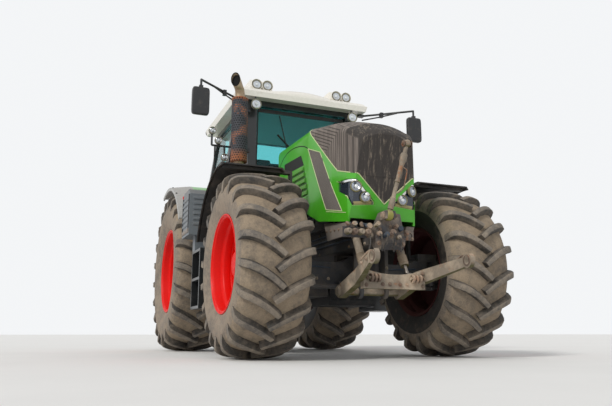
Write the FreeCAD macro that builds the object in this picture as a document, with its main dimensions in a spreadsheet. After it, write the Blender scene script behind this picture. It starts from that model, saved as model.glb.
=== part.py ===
import FreeCAD, Part
import math
import os
import Sketcher
from FreeCAD import Placement, Rotation, Vector

# A four-wheel-drive farm tractor with a glazed cab, a front linkage and a rear three-point linkage.
# +Z is up, -Y is the way it drives and +X is the driver's left. The origin is on the ground,
# midway between the tip of the front hooks and the tip of the rear links.
# A "run" is a distance behind the front axle, the cab's foot or the rear axle; a "rise" is a height.

SIZES = {
    # Stance: wheelbase, reach past each axle, track and tyre radius
    "wheelbase": 3050,
    "front_reach": 1390,
    "rear_reach": 1200,
    "front_track": 2033,
    "rear_track": 2013,
    "front_radius": 852,
    "rear_radius": 1065,
    "cab_lead": 1850,
    # Clearances: a fit, a pivot left open, and parts that swing past each other
    "fit_gap": 0.3,
    "joint_gap": 5,
    "swing_gap": 8,
    # Front tyre and rim, from the wheel's middle plane: rises are from the axle
    "front_bead": 432,
    "front_wall_rise": 655,
    "front_wall_half": 325,
    "front_tread_rise": 785,
    "front_tread_half": 250,
    "front_lug_nose": 30,
    "front_lug_narrow": 24,
    "front_lug_broad": 36,
    "front_lug_sweep": 200,
    "front_lug_shoulder": 245,
    "front_lug_drop": 28,
    "front_lug_tip": 735,
    "front_lug_foot": 600,
    "front_flange": 457,
    "front_flange_half": 295,
    "front_dish_in": -25,
    "front_dish_out": 35,
    "front_hub_radius": 150,
    "front_hub_back": 30,
    "front_hub_nose": 190,
    # Rear tyre and rim
    "rear_bead": 533.4,
    "rear_wall_rise": 820,
    "rear_wall_half": 356,
    "rear_tread_rise": 990,
    "rear_tread_half": 275,
    "rear_lug_nose": 34,
    "rear_lug_narrow": 27,
    "rear_lug_broad": 40,
    "rear_lug_sweep": 235,
    "rear_lug_shoulder": 270,
    "rear_lug_drop": 30,
    "rear_lug_tip": 930,
    "rear_lug_foot": 760,
    "rear_flange": 560,
    "rear_flange_half": 302,
    "rear_dish_in": 20,
    "rear_dish_out": 60,
    "rear_hub_radius": 205,
    "rear_hub_back": -105,
    "rear_hub_nose": 150,
    "slot_rise": 385,
    "slot_long": 66,
    "slot_wide": 34,
    # Both rims: flange lip, bead ledge, drop-centre well, wall and disc
    "rim_lip": 14,
    "rim_ledge": 95,
    "rim_slope": 25,
    "rim_wall": 12,
    "rim_well": 32,
    "rim_disc": 16,
    "hub_bevel": 22,
    "spindle_radius": 60,
    "spindle_reach": 120,
    "shaft_radius": 70,
    "shaft_reach": 90,
    # Front axle beam, trunnion and kingpins
    "kingpin": 800,
    "pin_radius": 30,
    "beam_low": 660,
    "beam_high": 900,
    "beam_tip_low": 750,
    "beam_tip_high": 950,
    "beam_deep": 110,
    "beam_tip_radius": 75,
    "beam_shoulder": 560,
    "beam_end": 670,
    "bulge_radius": 190,
    "trunnion_radius": 50,
    "hanger_front": -310,
    "hanger_back": 130,
    "hanger_thick": 60,
    "hanger_lip": 15,
    "hanger_half": 100,
    # Steering knuckle and steering cylinder
    "ear_thick": 75,
    "ear_half": 88,
    "yoke_in": 85,
    "yoke_out": 130,
    "carrier_radius": 140,
    "arm_reach": 180,
    "arm_half": 28,
    "arm_low": 690,
    "arm_thick": 45,
    "steer_rod_radius": 18,
    "steer_rod_rise": 664,
    "steer_eye_half": 14,
    "steer_tube_radius": 44,
    "steer_tube_half": 230,
    # Front frame, engine, cooler and cowl
    "frame_half": 200,
    "frame_low": 1000,
    "frame_high": 1250,
    "frame_nose_half": 150,
    "frame_nose": -700,
    "frame_nose_high": 1180,
    "frame_step": -400,
    "frame_short": 50,
    "cheek_in": 110,
    "cheek_out": 145,
    "cheek_half": 60,
    "engine_half": 270,
    "engine_front": -150,
    "engine_short": 200,
    "engine_high": 1980,
    "cooler_half": 300,
    "cooler_front": -480,
    "cooler_back": -260,
    "cooler_high": 1880,
    "cowl_deep": 155,
    "cowl_half": 415,
    "cowl_top": 2060,
    # Gearbox, rear axle, power take-off and drawbar
    "gearbox_half": 250,
    "gearbox_low": 650,
    "rear_case_half": 320,
    "rear_case_low": 620,
    "rear_case_high": 1370,
    "rear_case_deep": 300,
    "trumpet_radius": 150,
    "trumpet_end": 620,
    "planet_radius": 210,
    "planet_end": 890,
    "pto_radius": 22.2,
    "pto_long": 80,
    "pto_rise": 720,
    "drawbar_half": 45,
    "drawbar_thick": 40,
    "drawbar_rise": 420,
    "drawbar_reach": 800,
    "drawbar_bore": 16,
    # Hood trim in side view
    "hood_wall": 20,
    "hood_tuck": 12,
    "hood_trim_half": 600,
    "hood_ceiling": 2600,
    "hood_ahead": -1000,
    "hood_nose_run": -800,
    "hood_brow": 2000,
    "hood_brow_back": -600,
    "hood_lip_run": -690,
    "hood_lip": 1350,
    "hood_chin_run": -645,
    "hood_chin": 1200,
    "hood_chin_back_run": -116,
    "hood_chin_back": 1283,
    "hood_skirt_run": 350,
    "hood_skirt": 1500,
    # Hood hinge
    "hood_hinge_ahead": 220,
    "hood_hinge_rise": 2120,
    "hinge_side": 150,
    "hinge_thick": 25,
    "hinge_eye": 35,
    "hinge_pin": 15,
    "hinge_top": 2350,
    # Grille, side vent and lamp openings in the hood
    "mesh_back": 100,
    "mesh_back_rise": 2260,
    "mesh_mid_run": -500,
    "mesh_mid_rise": 1695,
    "mesh_corner_run": -750,
    "mesh_front_rise": 1620,
    "vee_half": 270,
    "vee_low": 1370,
    "vent_top_run": 107,
    "vent_top": 2075,
    "vent_mid_run": -165,
    "vent_mid": 1965,
    "vent_tip_run": -560,
    "vent_tip": 1310,
    "vent_foot_run": -276,
    "vent_foot": 1370,
    "lamp_in": 100,
    "lamp_in_low": 1360,
    "lamp_in_rise": 1390,
    "lamp_top": 280,
    "lamp_top_rise": 1575,
    "lamp_out": 400,
    "lamp_out_rise": 1600,
    "lamp_foot": 320,
    "lamp_foot_rise": 1340,
    "lamp_back_run": -500,
    "lens_recess": 17,
    "beam_inner": 186,
    "beam_inner_rise": 1420,
    "beam_outer": 292,
    "beam_outer_rise": 1520,
    "beam_radius": 36,
    "beam_run": -722,
    # Nose skirt below the hood
    "skirt_half": 345,
    "skirt_wall": 18,
    "skirt_rake": 80,
    "skirt_low": 1085,
    "skirt_back": -200,
    "skirt_slot": 262,
    # Front fenders, about the wheel's axle
    "front_guard_radius": 942,
    "front_guard_edge": 905,
    "front_guard_in": 735,
    "front_guard_out": 1380,
    "front_guard_wall": 12,
    "front_guard_start": 20,
    "front_guard_turn": 76,
    "guard_post_in": 640,
    "guard_post_out": 664,
    "guard_post_half": 30,
    "guard_foot_gap": 10,
    # Rear fenders, about the rear axle
    "rear_guard_radius": 1157,
    "rear_guard_wall": 20,
    "rear_guard_in": 600,
    "rear_guard_mid": 1100,
    "rear_guard_out": 1360,
    "rear_guard_start": 30,
    "rear_guard_turn": 122,
    "rear_guard_apron": 640,
    "wing_start": 72,
    "wing_turn": 78,
    # Cab hull, from the foot of the windscreen
    "cab_bound": 1000,
    "cab_floor": 1380,
    "cab_floor_thick": 60,
    "cab_waist": 2050,
    "cab_head": 3030,
    "cab_long": 1760,
    "cab_rake": 160,
    "cab_tail": 60,
    "cab_half_low": 740,
    "cab_half_waist": 840,
    "cab_half_high": 705,
    "cab_half_front": 730,
    "cab_half_back": 800,
    "cab_widest": 780,
    "cab_wall": 55,
    "pillar": 70,
    "pane": 8,
    "glass_in": 20,
    "belly_half": 590,
    "window_rake": 148,
    "screen_low": 2110,
    "screen_half_low": 640,
    "screen_half_high": 590,
    "rear_screen_low": 1900,
    "quarter_low": 2290,
    "quarter_back": 130,
    # Door on the left side, hung at its rear edge
    "door_front": 90,
    "door_back": 745,
    "door_low": 1490,
    "door_drop": 70,
    "door_gap": 6,
    "door_frame": 60,
    "door_hinge_side": 846,
    "door_hinge_back": 8,
    "door_hinge_low": 1750,
    "door_hinge_high": 2250,
    "door_hinge_tall": 90,
    "door_hinge_leaf": 80,
    # Roof, from the foot of the windscreen
    "roof_front": 40,
    "roof_long": 1740,
    "roof_half": 865,
    "roof_lip": 50,
    "roof_edge_up": 120,
    "roof_top_up": 240,
    "roof_visor": 250,
    "roof_brow": 350,
    "pod_inner": 395,
    "pod_outer": 675,
    "pod_front": 170,
    "pod_back": 560,
    "pod_top_up": 270,
    # Seat and steering column inside the cab
    "seat_half": 250,
    "seat_front": 700,
    "seat_back": 1180,
    "seat_low": 1900,
    "seat_thick": 120,
    "seat_base_half": 175,
    "backrest_drop": 470,
    "console_half": 125,
    "wheel_ring": 195,
    "wheel_tube": 14,
    "wheel_hub": 48,
    "wheel_spoke": 9,
    "column_run": 330,
    "column_rise": 2150,
    "column_foot": 200,
    "column_radius": 35,
    # Tanks, steps and battery box, from the foot of the windscreen
    "tank_front": 60,
    "tank_back": 720,
    "tank_in": 320,
    "tank_out": 940,
    "tank_low": 560,
    "tank_high": 1310,
    "tank_bevel": 60,
    "step_front": 110,
    "step_back": 540,
    "step_out": 1240,
    "step_first": 500,
    "step_rise": 320,
    "step_thick": 30,
    "step_plate": 25,
    "battery_front": 350,
    "battery_back": 760,
    "battery_in": 940,
    "battery_out": 1330,
    "battery_low": 1350,
    "battery_high": 1900,
    # Exhaust stack beside the right front cab post
    "stack_side": 870,
    "stack_ahead": 75,
    "stack_radius": 55,
    "stack_wall": 5,
    "stack_foot": 1720,
    "shield_radius": 95,
    "shield_low": 2150,
    "shield_drop": 110,
    "stack_bend_up": 50,
    "stack_top_up": 160,
    "stack_lean": 60,
    # Mirrors and work lamps
    "mirror_run": -250,
    "mirror_side": 1370,
    "mirror_drop": 270,
    "mirror_wide": 200,
    "mirror_tall": 320,
    "mirror_deep": 60,
    "mirror_tube": 13,
    "mirror_foot_run": 170,
    "mirror_foot_side": 790,
    "lamp_radius": 56,
    "lamp_deep": 40,
    "pod_lamp_in": 71,
    "pod_lamp_drop": 75,
    "tail_lamp_side": 800,
    "tail_lamp_up": 62,
    "post_lamp_run": 70,
    "post_lamp_side": 640,
    "post_lamp_drop": 105,
    "post_lamp_radius": 48,
    "post_lamp_stem": 12,
    # Lamp rail on the right front post
    "rail_run": 130,
    "rail_tube": 12,
    "rail_in": 750.4,
    "rail_side": 1144,
    "rail_rise": 2385,
    "rail_high": 2556,
    "rail_middle_side": 1070,
    "rail_middle": 2443,
    "rail_low_side": 990,
    "rail_low": 2243,
    "rail_lamp": 42,
    # Front linkage
    "nose_half": 145,
    "nose_low": 950,
    "nose_high": 1271,
    "nose_front": -800,
    "nose_deep": 45,
    "coupler_low": 1045,
    "coupler_tall": 90,
    "coupler_plate": 16,
    "coupler_left": 260,
    "coupler_right": 440,
    "coupler_first": 35,
    "coupler_step": 62,
    "coupler_radius": 21,
    "coupler_long": 60,
    "top_link_radius": 18,
    "top_link_eye": 36,
    "top_link_pin": 12,
    "top_link_half": 30,
    "top_link_foot": -60,
    "top_link_foot_run": -880,
    "top_link_low": 1235,
    "top_link_head": 100,
    "top_link_head_run": -960,
    "top_link_high": 1880,
    "lift_pivot_run": -420,
    "lift_pivot_rise": 600,
    "lift_shaft": 35,
    "lift_boss": 62,
    "arm_in": 262,
    "arm_out": 330,
    "arm_tip": 40,
    "cross_half": 300,
    "cross_front": -850,
    "cross_back": -790,
    "cross_low": 600,
    "cross_high": 770,
    "cross_hollow": 1000,
    "hook_side": 437,
    "hook_run": -1306,
    "hook_rise": 816,
    "hook_radius": 62,
    "hook_bore": 32,
    "knee_run": -742,
    "knee_rise": 702,
    # Front lift rams
    "ram_side": 210,
    "ram_radius": 36,
    "ram_rod": 18,
    "ram_pin": 12,
    "ram_eye": 38,
    "ram_eye_half": 25,
    "ram_foot_run": -500,
    "ram_foot_rise": 1150,
    "ram_pin_run": -720,
    "ram_pin_rise": 720,
    "ram_tube_long": 365,
    "ram_rod_long": 370,
    # Rear linkage, from the rear axle
    "link_pivot_run": 260,
    "link_pivot_rise": 560,
    "link_in": 345,
    "link_out": 375,
    "link_long": 900,
    "link_eye": 45,
    "link_half": 36,
    "link_pin": 16,
    "link_thick": 22,
    "link_lug": 60,
    "link_ball_bore": 18,
    "lift_arm_long": 340,
    "lift_arm_rise": 1290,
    "lift_cross_shaft": 38,
    "lift_rocker": 66,
    "lift_rocker_tip": 38,
    "lift_rod_side": 400,
    "lift_rod_half": 15,
    "lift_rod_pin": 14,
    "lift_rod_eye": 32,
    "lift_rod_radius": 13,
}

# Cross-sections of the hood from back to front: place, half width, height of the shoulder,
# height of the crown and shoulder radius; the rear one is placed from the cab, the others from
# the front axle
HOOD_COLUMNS = ("run", "half", "shoulder", "crown", "round")
HOOD_STATIONS = {
    "rear": (-180, 420, 2225, 2370, 95),
    "waist": (100, 420, 2200, 2335, 95),
    "brow": (-400, 385, 2110, 2245, 90),
    "corner": (-650, 350, 2010, 2150, 80),
    "cheek": (-760, 280, 1940, 2060, 70),
    "tip": (-830, 205, 1860, 1980, 60),
}

# Lugs in one row of each tyre, and openings in the rear wheel's disc
LUGS = {"front": 20, "rear": 21}
DISC_SLOTS = 8

# Oil couplers on the nose
COUPLERS = 4

# Boarding steps on each side, and the lean of the steering wheel in degrees
TREADS = 3
WHEEL_LEAN = 25

doc = FreeCAD.newDocument("Tractor")
sheet = doc.addObject("Spreadsheet::Sheet", "sizes")
cells = dict(SIZES)
for word, numbers in HOOD_STATIONS.items():
    for column, number in zip(HOOD_COLUMNS, numbers):
        cells["hood_%s_%s" % (word, column)] = number
for row, (alias, number) in enumerate(cells.items(), start=1):
    cell = "A%d" % row
    sheet.set(cell, str(number))
    sheet.setAlias(cell, alias)
doc.recompute()


class Size:
    """A number together with the sheet expression that gives it."""

    def __init__(self, value, text):
        self.value = float(value)
        self.text = text

    def __add__(self, other):
        return Size(self.value + value_of(other), "(%s + %s)" % (self.text, text_of(other)))

    def __radd__(self, other):
        return Size(value_of(other) + self.value, "(%s + %s)" % (text_of(other), self.text))

    def __sub__(self, other):
        return Size(self.value - value_of(other), "(%s - %s)" % (self.text, text_of(other)))

    def __rsub__(self, other):
        return Size(value_of(other) - self.value, "(%s - %s)" % (text_of(other), self.text))

    def __mul__(self, other):
        return Size(self.value * value_of(other), "(%s * %s)" % (self.text, text_of(other)))

    __rmul__ = __mul__

    def __truediv__(self, other):
        return Size(self.value / value_of(other), "(%s / %s)" % (self.text, text_of(other)))

    def __neg__(self):
        return Size(-self.value, "(0 - %s)" % self.text)


def value_of(number):
    return number.value if isinstance(number, Size) else float(number)


def text_of(number):
    return number.text if isinstance(number, Size) else repr(float(number))


class Sheet:
    """Reads a named size out of the sheet, as in d.wheelbase."""

    def __getattr__(self, alias):
        return Size(float(sheet.get(alias)), "sizes." + alias)


d = Sheet()
front_y = (d.front_reach - d.wheelbase - d.rear_reach) / 2
rear_y = front_y + d.wheelbase
cab_y = rear_y - d.cab_lead
front_wheel_x = d.front_track / 2
rear_wheel_x = d.rear_track / 2
frame_end = cab_y - d.frame_short
hood_hinge_y = cab_y - d.hood_hinge_ahead
hood_rear_y = cab_y + d.hood_rear_run
door_high = d.cab_head - d.door_drop
roof_edge = d.cab_head + d.roof_edge_up
roof_top = d.cab_head + d.roof_top_up
pod_top = d.cab_head + d.pod_top_up

PLANES = {
    "side": Rotation(Vector(1, 1, 1), 120),
    "front": Rotation(Vector(1, 0, 0), 90),
    "plan": Rotation(),
}
AXES = {
    "x": Rotation(Vector(0, 1, 0), 90),
    "y": Rotation(Vector(1, 0, 0), -90),
    "z": Rotation(),
}
nodes = {}


def node(name, piece):
    """Name a finished sub-part, which is then checked and written."""
    piece.Label = name
    nodes[name] = piece
    return piece


def bind(thing, **sizes):
    for name, size in sizes.items():
        setattr(thing, name, value_of(size))
        if isinstance(size, Size):
            thing.setExpression(name, size.text)


def place(thing, x=0, y=0, z=0, turn=Rotation()):
    thing.Placement = Placement(Vector(value_of(x), value_of(y), value_of(z)), turn)
    for axis, size in zip("xyz", (x, y, z)):
        if isinstance(size, Size):
            thing.setExpression("Placement.Base." + axis, size.text)
    return thing


def box(name, x, y, z):
    """A block; x, y and z are (low, high) pairs."""
    block = doc.addObject("Part::Box", name)
    bind(block, Length=x[1] - x[0], Width=y[1] - y[0], Height=z[1] - z[0])
    return place(block, x[0], y[0], z[0])


def rod(name, axis, radius, low, high, centre):
    """A cylinder along an axis; centre holds its two other coordinates in x, y, z order."""
    round_bar = doc.addObject("Part::Cylinder", name)
    bind(round_bar, Radius=radius, Height=high - low)
    spot = list(centre)
    spot.insert("xyz".index(axis), low)
    return place(round_bar, *spot, turn=AXES[axis])


def ball(name, radius, x, y, z):
    globe = doc.addObject("Part::Sphere", name)
    bind(globe, Radius=radius)
    return place(globe, x, y, z)


def bar(name, radius, start, end):
    """A round bar between two points in space."""
    round_bar = doc.addObject("Part::Cylinder", name)
    dx, dy, dz = (end[i] - start[i] for i in range(3))
    flat = math.hypot(value_of(dx), value_of(dy))
    length = math.hypot(flat, value_of(dz))
    bind(round_bar, Radius=radius)
    round_bar.Height = length
    runs = tuple(text_of(run) for run in (dx, dy, dz))
    round_bar.setExpression("Height", "sqrt((%s)^2 + (%s)^2 + (%s)^2)" % runs)
    spot = "vector(%s; %s; %s)" % tuple(text_of(axis) for axis in start)
    turn = "rotation(vector(0 - (%s); %s; 0); atan2(hypot(%s; %s); %s))" % (
        runs[1], runs[0], runs[0], runs[1], runs[2])
    if flat < 1e-6:
        return place(round_bar, *start)
    round_bar.setExpression("Placement", "placement(%s; %s)" % (spot, turn))
    return round_bar


def draw(sketch, corners):
    """Close an outline through its corners, each (a, b), or (a, b, radius, side) where an arc ends.

    Side is 1 for an arc that turns counter-clockwise on its way there, and -1 for clockwise.
    """
    points = [Vector(value_of(corner[0]), value_of(corner[1]), 0) for corner in corners]
    ends = []
    for index, start in enumerate(points):
        target = corners[(index + 1) % len(corners)]
        stop = points[(index + 1) % len(corners)]
        if len(target) == 2:
            sketch.addGeometry(Part.LineSegment(start, stop))
            ends.append((1, 2))
            continue
        radius, side = value_of(target[2]), target[3]
        chord = stop - start
        lift = math.sqrt(max(radius ** 2 - (chord.Length / 2) ** 2, 0))
        left = Vector(-chord.y, chord.x, 0).normalize()
        centre = (start + stop) * 0.5 + left * lift * side
        first, last = (start, stop) if side > 0 else (stop, start)
        low = math.atan2(first.y - centre.y, first.x - centre.x)
        high = math.atan2(last.y - centre.y, last.x - centre.x)
        if high < low:
            high += 2 * math.pi
        circle = Part.Circle(centre, Vector(0, 0, 1), radius)
        sketch.addGeometry(Part.ArcOfCircle(circle, low, high))
        ends.append((1, 2) if side > 0 else (2, 1))
    for index, corner in enumerate(corners):
        following = (index + 1) % len(corners)
        meet = Sketcher.Constraint("Coincident", index, ends[index][1], following, ends[following][0])
        sketch.addConstraint(meet)
        for kind, size in zip(("DistanceX", "DistanceY"), corner):
            hold(sketch, Sketcher.Constraint(kind, index, ends[index][0], value_of(size)), size)
        if len(corner) > 2:
            arc = (index - 1) % len(corners)
            hold(sketch, Sketcher.Constraint("Radius", arc, value_of(corner[2])), corner[2])


def hold(sketch, constraint, size):
    """Add a dimension to a sketch and tie it to the sheet."""
    number = sketch.addConstraint(constraint)
    if isinstance(size, Size):
        sketch.setExpression("Constraints[%d]" % number, size.text)


def outline(name, plane, offset, corners):
    """A free sketch on a side, front or plan plane."""
    sketch = doc.addObject("Sketcher::SketchObject", name)
    draw(sketch, corners)
    spot = {"side": (offset, 0, 0), "front": (0, offset, 0), "plan": (0, 0, offset)}[plane]
    return place(sketch, *spot, turn=PLANES[plane])


def prism(name, plane, low, high, corners):
    """An outline pushed square to its plane, from low to high."""
    solid = doc.addObject("Part::Extrusion", name)
    solid.Base = outline(name + "_outline", plane, high if plane == "front" else low, corners)
    solid.DirMode = "Normal"
    solid.Solid = True
    bind(solid, LengthFwd=high - low)
    return solid


def lathe(name, corners, start=0, turn=360):
    """A body turned about its X axis; corners are (along the axis, radius)."""
    body = doc.addObject("PartDesign::Body", name)
    sketch = body.newObject("Sketcher::SketchObject", name + "_section")
    plane = [item for item in body.Origin.OriginFeatures if item.Role == "XY_Plane"][0]
    sketch.AttachmentSupport = [(plane, "")]
    sketch.MapMode = "FlatFace"
    draw(sketch, corners)
    turned = body.newObject("PartDesign::Revolution", name + "_turned")
    turned.Profile = sketch
    turned.ReferenceAxis = (sketch, ["H_Axis"])
    bind(turned, Angle=turn)
    body.Placement = Placement(Vector(), Rotation(Vector(1, 0, 0), value_of(start)))
    if isinstance(start, Size):
        body.setExpression("Placement.Rotation.Angle", start.text)
    return body


def seat_at(body, x, y, z):
    """Move a turned body to its axle without losing its start angle."""
    return place(body, x, y, z, turn=body.Placement.Rotation)


def fuse(name, *pieces):
    joined = doc.addObject("Part::MultiFuse", name)
    joined.Shapes = list(pieces)
    return joined


def common(name, *pieces):
    shared = doc.addObject("Part::MultiCommon", name)
    shared.Shapes = list(pieces)
    return shared


def cut(name, base, *tools):
    rest = doc.addObject("Part::Cut", name)
    rest.Base = base
    rest.Tool = tools[0] if len(tools) == 1 else fuse(name + "_tools", *tools)
    return rest


def other_side(name, piece):
    image = doc.addObject("Part::Mirroring", name)
    image.Source = piece
    image.Normal = Vector(1, 0, 0)
    return image


def both_sides(name, piece):
    pair = doc.addObject("Part::Compound", name)
    pair.Links = [piece, other_side(name + "_right", piece)]
    return pair


def group(name, *pieces):
    """Solids of one sub-part that don't touch each other."""
    gathered = doc.addObject("Part::Compound", name)
    gathered.Links = list(pieces)
    return gathered


def mirrored(corners):
    """Corners of the right half, bottom to top, closed with their own mirror image."""
    return corners + [(-a, b) for a, b in reversed(corners)]


def wheel_sizes(kind):
    """The sizes of the front or the rear wheel by their short names."""
    return lambda word: getattr(d, "%s_%s" % (kind, word))


def around_axle(name, piece, count):
    """A ring of like pieces about the axle, set out as one pattern."""
    holder = doc.addObject("PartDesign::Body", name + "_holder")
    holder.AllowCompound = True
    holder.BaseFeature = piece
    doc.recompute()
    ring = holder.newObject("PartDesign::PolarPattern", name)
    ring.TransformMode = "Whole shape"
    ring.Axis = ([part for part in holder.Origin.OriginFeatures if part.Role == "X_Axis"][0], [""])
    ring.Angle = 360
    ring.Occurrences = count
    holder.Tip = ring
    return holder


def tyre(kind):
    """A tyre of flat faces: a carcass with one wedge to each lug, and two rows of lugs half a
    pitch apart, that rise in a chevron from the middle of the tread over the shoulders."""
    own = wheel_sizes(kind)
    count = LUGS[kind]
    bead_half = own("flange_half") - d.rim_lip - d.fit_gap
    collar = own("flange") + d.fit_gap
    section = prism("%s_section" % kind, "front", -own("radius"), own("radius"), mirrored([
        (bead_half, own("bead")),
        (bead_half, collar),
        (own("wall_half"), own("wall_rise")),
        (own("tread_half"), own("tread_rise")),
    ]))
    reach = own("radius")
    spread = reach * math.tan(math.pi / count)
    sector = prism("%s_sector" % kind, "side", -own("wall_half"), own("wall_half"), [
        (0, 0), (spread, reach), (-spread, reach)])
    carcass = around_axle("%s_carcass" % kind, common("%s_wedge" % kind, section, sector), count)
    plan = prism("%s_lug_plan" % kind, "plan", 0, own("radius"), [
        (-own("lug_nose"), -own("lug_narrow")),
        (own("wall_half"), own("lug_sweep") - own("lug_broad")),
        (own("wall_half"), own("lug_sweep") + own("lug_broad")),
        (-own("lug_nose"), own("lug_narrow")),
    ])
    side = prism("%s_lug_side" % kind, "front", -own("radius"), own("radius"), [
        (-own("lug_nose"), own("wall_rise")),
        (own("tread_half"), own("lug_foot")),
        (own("wall_half"), own("lug_tip")),
        (own("lug_shoulder"), own("radius") - own("lug_drop")),
        (-own("lug_nose"), own("radius")),
    ])
    row = around_axle("%s_lugs" % kind, common("%s_lug" % kind, plan, side), count)
    facing = doc.addObject("Part::Mirroring", "%s_lugs_facing" % kind)
    facing.Source = row
    facing.Normal = Vector(1, 0, 0)
    facing.Placement = Placement(Vector(), Rotation(Vector(1, 0, 0), 180 / count))
    return fuse("tyre_%s_body" % kind, carcass, row, facing)


def rim(kind, bore, bore_end):
    """A drop-centre rim, its dished disc and the hub, turned about the axle."""
    own = wheel_sizes(kind)
    seat = own("bead") - d.fit_gap
    lip = own("flange_half") - d.rim_lip
    ledge = own("flange_half") - d.rim_ledge
    well = ledge - d.rim_slope
    barrel = seat - d.rim_well - d.rim_wall
    face = own("dish_in") + d.rim_disc
    wheel = lathe("rim_%s_turned" % kind, [
        (own("flange_half"), own("flange")),
        (lip, own("flange")),
        (lip, seat),
        (ledge, seat),
        (well, seat - d.rim_well),
        (-well, seat - d.rim_well),
        (-ledge, seat),
        (-lip, seat),
        (-lip, own("flange")),
        (-own("flange_half"), own("flange")),
        (-own("flange_half"), seat - d.rim_wall),
        (-ledge, seat - d.rim_wall),
        (-well, barrel),
        (own("dish_in"), barrel),
        (own("dish_out"), own("hub_radius")),
        (own("hub_back"), own("hub_radius")),
        (own("hub_back"), bore),
        (bore_end, bore),
        (bore_end, 0),
        (own("hub_nose"), 0),
        (own("hub_nose"), own("hub_radius") - d.hub_bevel * 2),
        (own("hub_nose") - d.hub_bevel, own("hub_radius") - d.hub_bevel),
        (own("dish_out") + d.rim_disc, own("hub_radius")),
        (face, barrel),
        (well, barrel),
        (ledge, seat - d.rim_wall),
        (own("flange_half"), seat - d.rim_wall),
    ])
    if kind == "front":
        return wheel
    flat = d.slot_long - d.slot_wide
    slot = prism("disc_slot", "side", own("dish_in") - d.rim_disc, own("dish_out") + d.rim_disc * 2, [
        (-flat, d.slot_rise - d.slot_wide, d.slot_wide, 1),
        (flat, d.slot_rise - d.slot_wide),
        (d.slot_long, d.slot_rise, d.slot_wide, 1),
        (flat, d.slot_rise + d.slot_wide, d.slot_wide, 1),
        (-flat, d.slot_rise + d.slot_wide),
        (-d.slot_long, d.slot_rise, d.slot_wide, 1),
    ])
    return cut("rim_rear_body", wheel, around_axle("disc_slots", slot, DISC_SLOTS))


def wheels():
    places = {
        "front": (front_wheel_x, front_y, d.front_radius),
        "rear": (rear_wheel_x, rear_y, d.rear_radius),
    }
    bores = {
        "front": (d.spindle_radius + d.fit_gap, d.spindle_reach + d.swing_gap),
        "rear": (d.shaft_radius + d.fit_gap, d.shaft_reach + d.swing_gap),
    }
    for kind, spot in places.items():
        for word, piece in (("tyre", tyre(kind)), ("rim", rim(kind, *bores[kind]))):
            seat_at(piece, *spot)
            node("%s_%s_left" % (word, kind), piece)
            name = "%s_%s_right" % (word, kind)
            node(name, other_side(name, piece))


def front_axle():
    """A tapered beam that rocks on a trunnion, with a rounded tip for each kingpin."""
    middle = (d.beam_low + d.beam_high) / 2
    beam = prism("beam", "front", front_y - d.beam_deep, front_y + d.beam_deep, mirrored([
        (d.beam_shoulder, d.beam_low),
        (d.beam_end, d.beam_tip_low),
        (d.beam_end, d.beam_tip_high),
        (d.beam_shoulder, d.beam_high),
    ]))
    tips = both_sides("beam_tips", prism("beam_tip", "plan", d.beam_tip_low, d.beam_tip_high, [
        (d.beam_shoulder, front_y - d.beam_tip_radius),
        (d.kingpin, front_y - d.beam_tip_radius),
        (d.kingpin + d.beam_tip_radius, front_y, d.beam_tip_radius, 1),
        (d.kingpin, front_y + d.beam_tip_radius, d.beam_tip_radius, 1),
        (d.beam_shoulder, front_y + d.beam_tip_radius),
    ]))
    case = rod("beam_case", "y", d.bulge_radius, front_y - d.beam_deep, front_y + d.beam_deep,
               (0, middle))
    trunnion = rod("trunnion", "y", d.trunnion_radius, front_y + d.hanger_front - d.hanger_lip,
                   front_y + d.hanger_back + d.hanger_thick + d.hanger_lip, (0, middle))
    bores = both_sides("kingpin_bores", rod(
        "kingpin_bore", "z", d.pin_radius + d.fit_gap, d.beam_low, d.beam_tip_high + d.ear_thick,
        (d.kingpin, front_y)))
    whole = fuse("beam_whole", beam, tips, case, trunnion)
    return node("front_axle", cut("front_axle", whole, bores))


def knuckles():
    """The yoke that turns on the kingpin, with its steering arm, hub carrier and spindle."""
    pin_x = d.kingpin
    low = d.beam_tip_low - d.fit_gap
    high = d.beam_tip_high + d.fit_gap
    across = (front_y - d.ear_half, front_y + d.ear_half)
    ears = [
        box("ear_low", (pin_x - d.ear_half, pin_x + d.yoke_out), across, (low - d.ear_thick, low)),
        box("ear_high", (pin_x - d.ear_half, pin_x + d.yoke_out), across, (high, high + d.ear_thick)),
        box("yoke", (pin_x + d.yoke_in, pin_x + d.yoke_out), across,
            (low - d.ear_thick, high + d.ear_thick)),
    ]
    pin = rod("kingpin_left", "z", d.pin_radius, low - d.ear_thick, high + d.ear_thick,
              (pin_x, front_y))
    carrier_end = front_wheel_x + d.front_hub_back - d.swing_gap
    carrier = rod("hub_carrier", "x", d.carrier_radius, pin_x + d.yoke_out, carrier_end,
                  (front_y, d.front_radius))
    spindle = rod("spindle", "x", d.spindle_radius, pin_x + d.yoke_out,
                  front_wheel_x + d.spindle_reach, (front_y, d.front_radius))
    arm_tip = front_y - d.arm_reach
    arm = box("steering_arm", (pin_x - d.arm_half, pin_x + d.arm_half), (arm_tip, front_y),
              (d.arm_low, d.arm_low + d.arm_thick))
    arm_eye = rod("arm_eye", "z", d.arm_half, d.arm_low, d.arm_low + d.arm_thick, (pin_x, arm_tip))
    left = node("knuckle_left", fuse("knuckle_left", *ears, pin, carrier, spindle, arm, arm_eye))
    node("knuckle_right", other_side("knuckle_right", left))


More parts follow.
